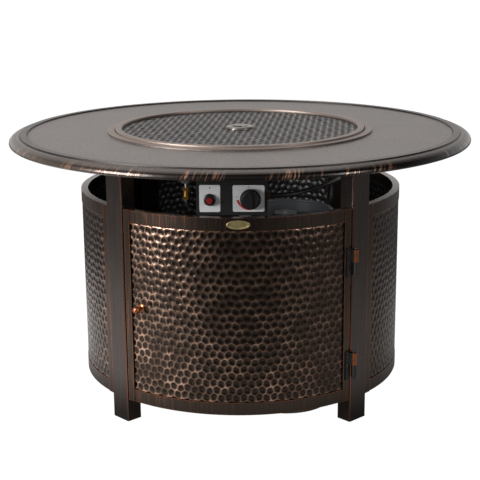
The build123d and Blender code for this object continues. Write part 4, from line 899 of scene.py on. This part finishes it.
# %% Thin flats for printed marks
PLATE_FACE_Y = -0.3132
INK_THICKNESS = 0.0002


def join_loops(shape, lower, upper):
    """Wall of faces between two closed loops of points."""
    for index in range(len(lower)):
        after = (index + 1) % len(lower)
        shape.faces.new((lower[index], lower[after], upper[after], upper[index]))


def mesh_piece(name, shape, material):
    """Object from a bmesh, with its faces turned outwards."""
    bmesh.ops.recalc_face_normals(shape, faces=shape.faces)
    mesh = bpy.data.meshes.new(name)
    shape.to_mesh(mesh)
    shape.free()
    mesh.materials.append(material)
    return add_object(name, mesh)


def flat_mark(name, outline, material):
    """Thin flat on the face of the control plates, from an (x, z) outline."""
    shape = bmesh.new()
    front = [shape.verts.new((x, PLATE_FACE_Y, z)) for x, z in outline]
    back = [shape.verts.new((x, PLATE_FACE_Y + INK_THICKNESS, z)) for x, z in outline]
    shape.faces.new(front)
    shape.faces.new(back[::-1])
    join_loops(shape, front, back)
    piece = mesh_piece(name, shape, material)
    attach(piece, "table")
    print(name, len(piece.data.polygons), "faces")


# Screen print: flat ink with a slight sheen of its own.
red_ink = fitting_finish("screen_printed_red", "#8f1218", "#a5171c", 4, EVEN, 0.5, 0.0)
black_ink = fitting_finish("screen_printed_black", "#101010", "#1c1c1c", 4, EVEN, 0.5, 0.0)
print("inks", red_ink.name, black_ink.name)

# %% [markdown]
# ## Dial and igniter marks
# The band is drawn between two arcs whose distance shrinks along the turn. The ticks are short bars that
# point away from the knob's axis.

# %% Dial and igniter marks
KNOB_X = 0.0295
DIAL_Z = 0.526
BAND_RADIUS = 0.0280
BAND_HALF_WIDTH = 0.0026
BAND_THINNING = 0.0019
BAND_START = 194
BAND_SWEEP = 81
BAND_STEPS = 28
TICK_HALF_WIDTH = 0.0007
IGNITER_X = -0.0565
DOT_Z = 0.5455
DOT_RADIUS = 0.0016
DOT_STEPS = 20

outer_arc = []
inner_arc = []
for step in range(BAND_STEPS + 1):
    share = step / BAND_STEPS
    turn_angle = radians(BAND_START + share * BAND_SWEEP)
    half = BAND_HALF_WIDTH - BAND_THINNING * share
    for arc, distance in ((outer_arc, BAND_RADIUS + half), (inner_arc, BAND_RADIUS - half)):
        arc.append((KNOB_X + distance * cos(turn_angle), DIAL_Z + distance * sin(turn_angle)))
flat_mark("dial_red_band", outer_arc + inner_arc[::-1], red_ink)

# Each tick: its direction in degrees, and its two ends as distances from the knob's axis.
dial_ticks = {"dial_tick_1": (100, 0.0206, 0.0232), "dial_tick_2": (181.5, 0.0278, 0.0302)}
for name, (direction, start, end) in dial_ticks.items():
    out = Vector((cos(radians(direction)), sin(radians(direction))))
    side = Vector((-out.y, out.x)) * TICK_HALF_WIDTH
    corners = [out * start + side, out * end + side, out * end - side, out * start - side]
    outline = [(KNOB_X + corner.x, DIAL_Z + corner.y) for corner in corners]
    flat_mark(name, outline, black_ink)

dot_outline = []
for step in range(DOT_STEPS):
    spin = 2 * pi * step / DOT_STEPS
    dot_outline.append((IGNITER_X + DOT_RADIUS * cos(spin), DOT_Z + DOT_RADIUS * sin(spin)))
flat_mark("igniter_red_dot", dot_outline, red_ink)

# %% [markdown]
# ## Blank oval badge
# The door's top rail carries a small oval plate of antique brass with a raised border, left blank here. A
# few oval rings give its profile, from the edge over the border to the middle, and each point is laid on
# the rail's curve, so the plate bends with the door.

# %% Blank oval badge
BADGE_HALF_WIDTH = 0.025
BADGE_HALF_HEIGHT = 0.00975
BADGE_X = 0.005
BADGE_Z = 0.480
BADGE_STEPS = 48
BADGE_CROWN = 0.0014
RAIL_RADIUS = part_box("right_panel_frame")[1].x
# Each ring: its share of the oval, and its rise above the rail.
badge_rings = [(1.0, 0.0), (1.0, 0.0012), (0.95, 0.0018), (0.88, 0.0017), (0.84, 0.0011), (0.5, 0.0013)]


def on_rail(x, z, rise):
    """Point at a distance x round the rail's curve, raised from its face."""
    reach = RAIL_RADIUS + rise
    return reach * sin(x / RAIL_RADIUS), -reach * cos(x / RAIL_RADIUS), z


# Antique brass: dull olive-yellow, with a border painted lighter as a painted highlight where it catches
# the light.
badge_brass = fitting_finish("antique_brass", "#7d704c", "#b0a070", 7, EVEN, 0.4, 0.85, edge="#cbbd90")
shape = bmesh.new()
loops = []
for share, rise in badge_rings:
    loop = []
    for step in range(BADGE_STEPS):
        spin = 2 * pi * step / BADGE_STEPS
        x = BADGE_X + BADGE_HALF_WIDTH * share * cos(spin)
        z = BADGE_Z + BADGE_HALF_HEIGHT * share * sin(spin)
        loop.append(shape.verts.new(on_rail(x, z, rise)))
    loops.append(loop)
middle = shape.verts.new(on_rail(BADGE_X, BADGE_Z, BADGE_CROWN))
for lower, upper in zip(loops, loops[1:]):
    join_loops(shape, lower, upper)
for step in range(BADGE_STEPS):
    shape.faces.new((loops[-1][step], loops[-1][(step + 1) % BADGE_STEPS], middle))
shape.faces.new(loops[0][::-1])
for face in shape.faces:
    face.smooth = True
badge = mesh_piece("blank_oval_badge", shape, badge_brass)
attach(badge, "door")
print(badge.name, len(badge.data.polygons), "faces")

# %% [markdown]
# ## Studio floor
# The photograph stands on a white sweep. The floor is plain paper, so it keeps the table's shadow, and to
# the camera most of it glows white. In reflections it is brightest close round the table, mostly on the
# left, and dark under the top and far in front, which is what the metal shows in the photograph.

# %% Floor
FLOOR_RADIUS = 16.0
FLOOR_DROP = 0.0005
CAMERA_SHARE = 0.85
FLOOR_WHITE = 1.19
POOL_SHAPE = (1.0, 1.6, 0.0)


def seen_rays(tree):
    """Masks for what the camera sees directly, and for what it sees mirrored or through glass."""
    rays = add_node(tree, "LightPath").outputs
    mirrored = add_node(
        tree, "Math", {0: rays["Is Glossy Ray"], 1: rays["Is Transmission Ray"]}, operation="MAXIMUM"
    )
    return rays["Is Camera Ray"], mirrored


# Paper sweep: matte white, with its brightness set for the camera and for reflections.
floor_white = bpy.data.materials.new("white_sweep")
floor_white.use_nodes = True
tree = floor_white.node_tree
tree.nodes.clear()
direct, mirrored = seen_rays(tree)
seen = add_node(tree, "Math", {0: direct, 1: CAMERA_SHARE}, operation="MULTIPLY")
share = add_node(tree, "Math", {0: seen, 1: mirrored}, operation="MAXIMUM")
place = add_node(tree, "TexCoord").outputs["Object"]
sideways = add_node(tree, "SeparateXYZ", {0: place}).outputs["X"]
from_table = add_node(tree, "VectorMath", {0: place}, operation="LENGTH")
pool_place = add_node(tree, "VectorMath", {0: place, 1: POOL_SHAPE}, operation="MULTIPLY")
from_pool = add_node(tree, "VectorMath", {0: pool_place}, operation="LENGTH")
# For reflections the floor gets a painted pool of light close round the table, brightest on the left.
near = add_node(
    tree, "MapRange",
    {"Value": from_pool, "From Min": 1.0, "From Max": 2.0, "To Min": 1.0, "To Max": 0.0},
    interpolation_type="SMOOTHSTEP",
)
pool_light_level = add_node(
    tree, "MapRange",
    {"Value": sideways, "From Min": -0.1, "From Max": -0.6, "To Min": 0.45},
    interpolation_type="SMOOTHSTEP",
)
aside = add_node(tree, "Math", {0: sideways}, operation="ABSOLUTE")
far_level = add_node(
    tree, "MapRange",
    {"Value": aside, "From Min": 0.3, "From Max": 1.8, "To Min": 0.012, "To Max": 0.2},
)
level = add_node(tree, "Mix", {"Factor": near, "A": far_level, "B": pool_light_level})
# Painted shadow of the top on the floor, seen only in reflections.
top_shade = add_node(
    tree, "MapRange", {"Value": from_table, "From Min": 0.42, "From Max": 0.6, "To Min": 0.2}
)
shaded = add_node(tree, "Math", {0: level, 1: top_shade}, operation="MULTIPLY")
glow_level = add_node(tree, "Mix", {"Factor": direct, "A": shaded, "B": FLOOR_WHITE})
paper = add_node(tree, "BsdfDiffuse", {"Color": "#b0b0b0"})
glow = add_node(tree, "Emission", {"Color": "#ffffff", "Strength": glow_level})
sweep_white = add_node(tree, "MixShader", {0: share, 1: paper, 2: glow})
add_node(tree, "OutputMaterial", {"Surface": sweep_white})
shape = bmesh.new()
bmesh.ops.create_circle(shape, cap_ends=True, segments=64, radius=FLOOR_RADIUS)
floor = mesh_piece("studio_floor", shape, floor_white)
floor.location.z = -FLOOR_DROP
print("floor", len(tree.nodes), "nodes")

# %% [markdown]
# ## World
# The room is white to the camera. In reflections it is bright behind the table, dark at both sides, and in
# front a dim wall grows brighter upwards, so the metal's dark and light sides fall where the photograph has
# them. An environment image would do this too, but a few ramps over the direction need no file.

# %% World
WORLD_WHITE = 1.05
AMBIENT_LEVEL = 0.12
world = bpy.data.worlds.new("studio")
bpy.context.scene.world = world
world.use_nodes = True
tree = world.node_tree
tree.nodes.clear()
direct, mirrored = seen_rays(tree)
toward = add_node(tree, "TexCoord").outputs["Generated"]
overhead = add_node(tree, "SeparateXYZ", {0: toward}).outputs["Z"]
to_camera = add_node(tree, "VectorMath", {0: toward, 1: (0.0, -1.0, 0.0)}, operation="DOT_PRODUCT")
back_wall = add_node(
    tree, "MapRange",
    {"Value": to_camera, "From Min": -0.85, "From Max": 0.25, "To Min": 1.0, "To Max": 0.01},
    interpolation_type="SMOOTHSTEP",
)
ceiling = add_node(
    tree, "MapRange",
    {"Value": overhead, "From Min": 0.27, "From Max": 0.6, "To Min": 1.0, "To Max": 0.12},
)
behind = add_node(tree, "Math", {0: back_wall, 1: ceiling}, operation="MULTIPLY")
ahead = add_node(tree, "MapRange", {"Value": to_camera, "From Min": 0.3, "From Max": 0.8})
wall_light = add_node(
    tree, "MapRange", {"Value": overhead, "From Min": 0.02, "From Max": 0.3, "To Max": 0.42}
)
front_wall = add_node(tree, "Math", {0: ahead, 1: wall_light}, operation="MULTIPLY")
room = add_node(tree, "Math", {0: behind, 1: front_wall}, operation="ADD")
indirect = add_node(tree, "Mix", {"Factor": mirrored, "A": AMBIENT_LEVEL, "B": room})
level = add_node(tree, "Mix", {"Factor": direct, "A": indirect, "B": WORLD_WHITE})
sky = add_node(tree, "Background", {"Color": "#ffffff", "Strength": level})
add_node(tree, "OutputWorld", {"Surface": sky})
print("world", len(tree.nodes), "nodes")

# %% [markdown]
# ## Lamps
# The photograph is lit from the left and above. A tall softbox on the left is the key and puts the glints
# on the door's left half, a small one on the right lifts the shadows, and a wide one overhead lights the
# top.

# %% Lamps


def softbox(name, place, aim, width, height, watts):
    """Rectangular studio lamp that faces a point."""
    lamp = bpy.data.lights.new(name, "AREA")
    lamp.shape = "RECTANGLE"
    lamp.size = width
    lamp.size_y = height
    lamp.energy = watts
    holder = add_object(name, lamp)
    holder.location = place
    holder.rotation_euler = (Vector(aim) - Vector(place)).to_track_quat("-Z", "Y").to_euler()


softbox("key_softbox", place=(-2.5, -1.9, 1.4), aim=(0.0, 0.0, 0.4), width=1.1, height=1.7, watts=192)
softbox("fill_softbox", place=(2.6, -2.2, 1.4), aim=(0.0, 0.0, 0.4), width=0.5, height=0.9, watts=34)
softbox("top_softbox", place=(-0.3, 0.9, 3.0), aim=(0.0, 0.0, 0.5), width=3.0, height=2.4, watts=32)
bpy.context.scene.view_settings.view_transform = "Standard"
print("lamps", [light.name for light in bpy.data.lights])
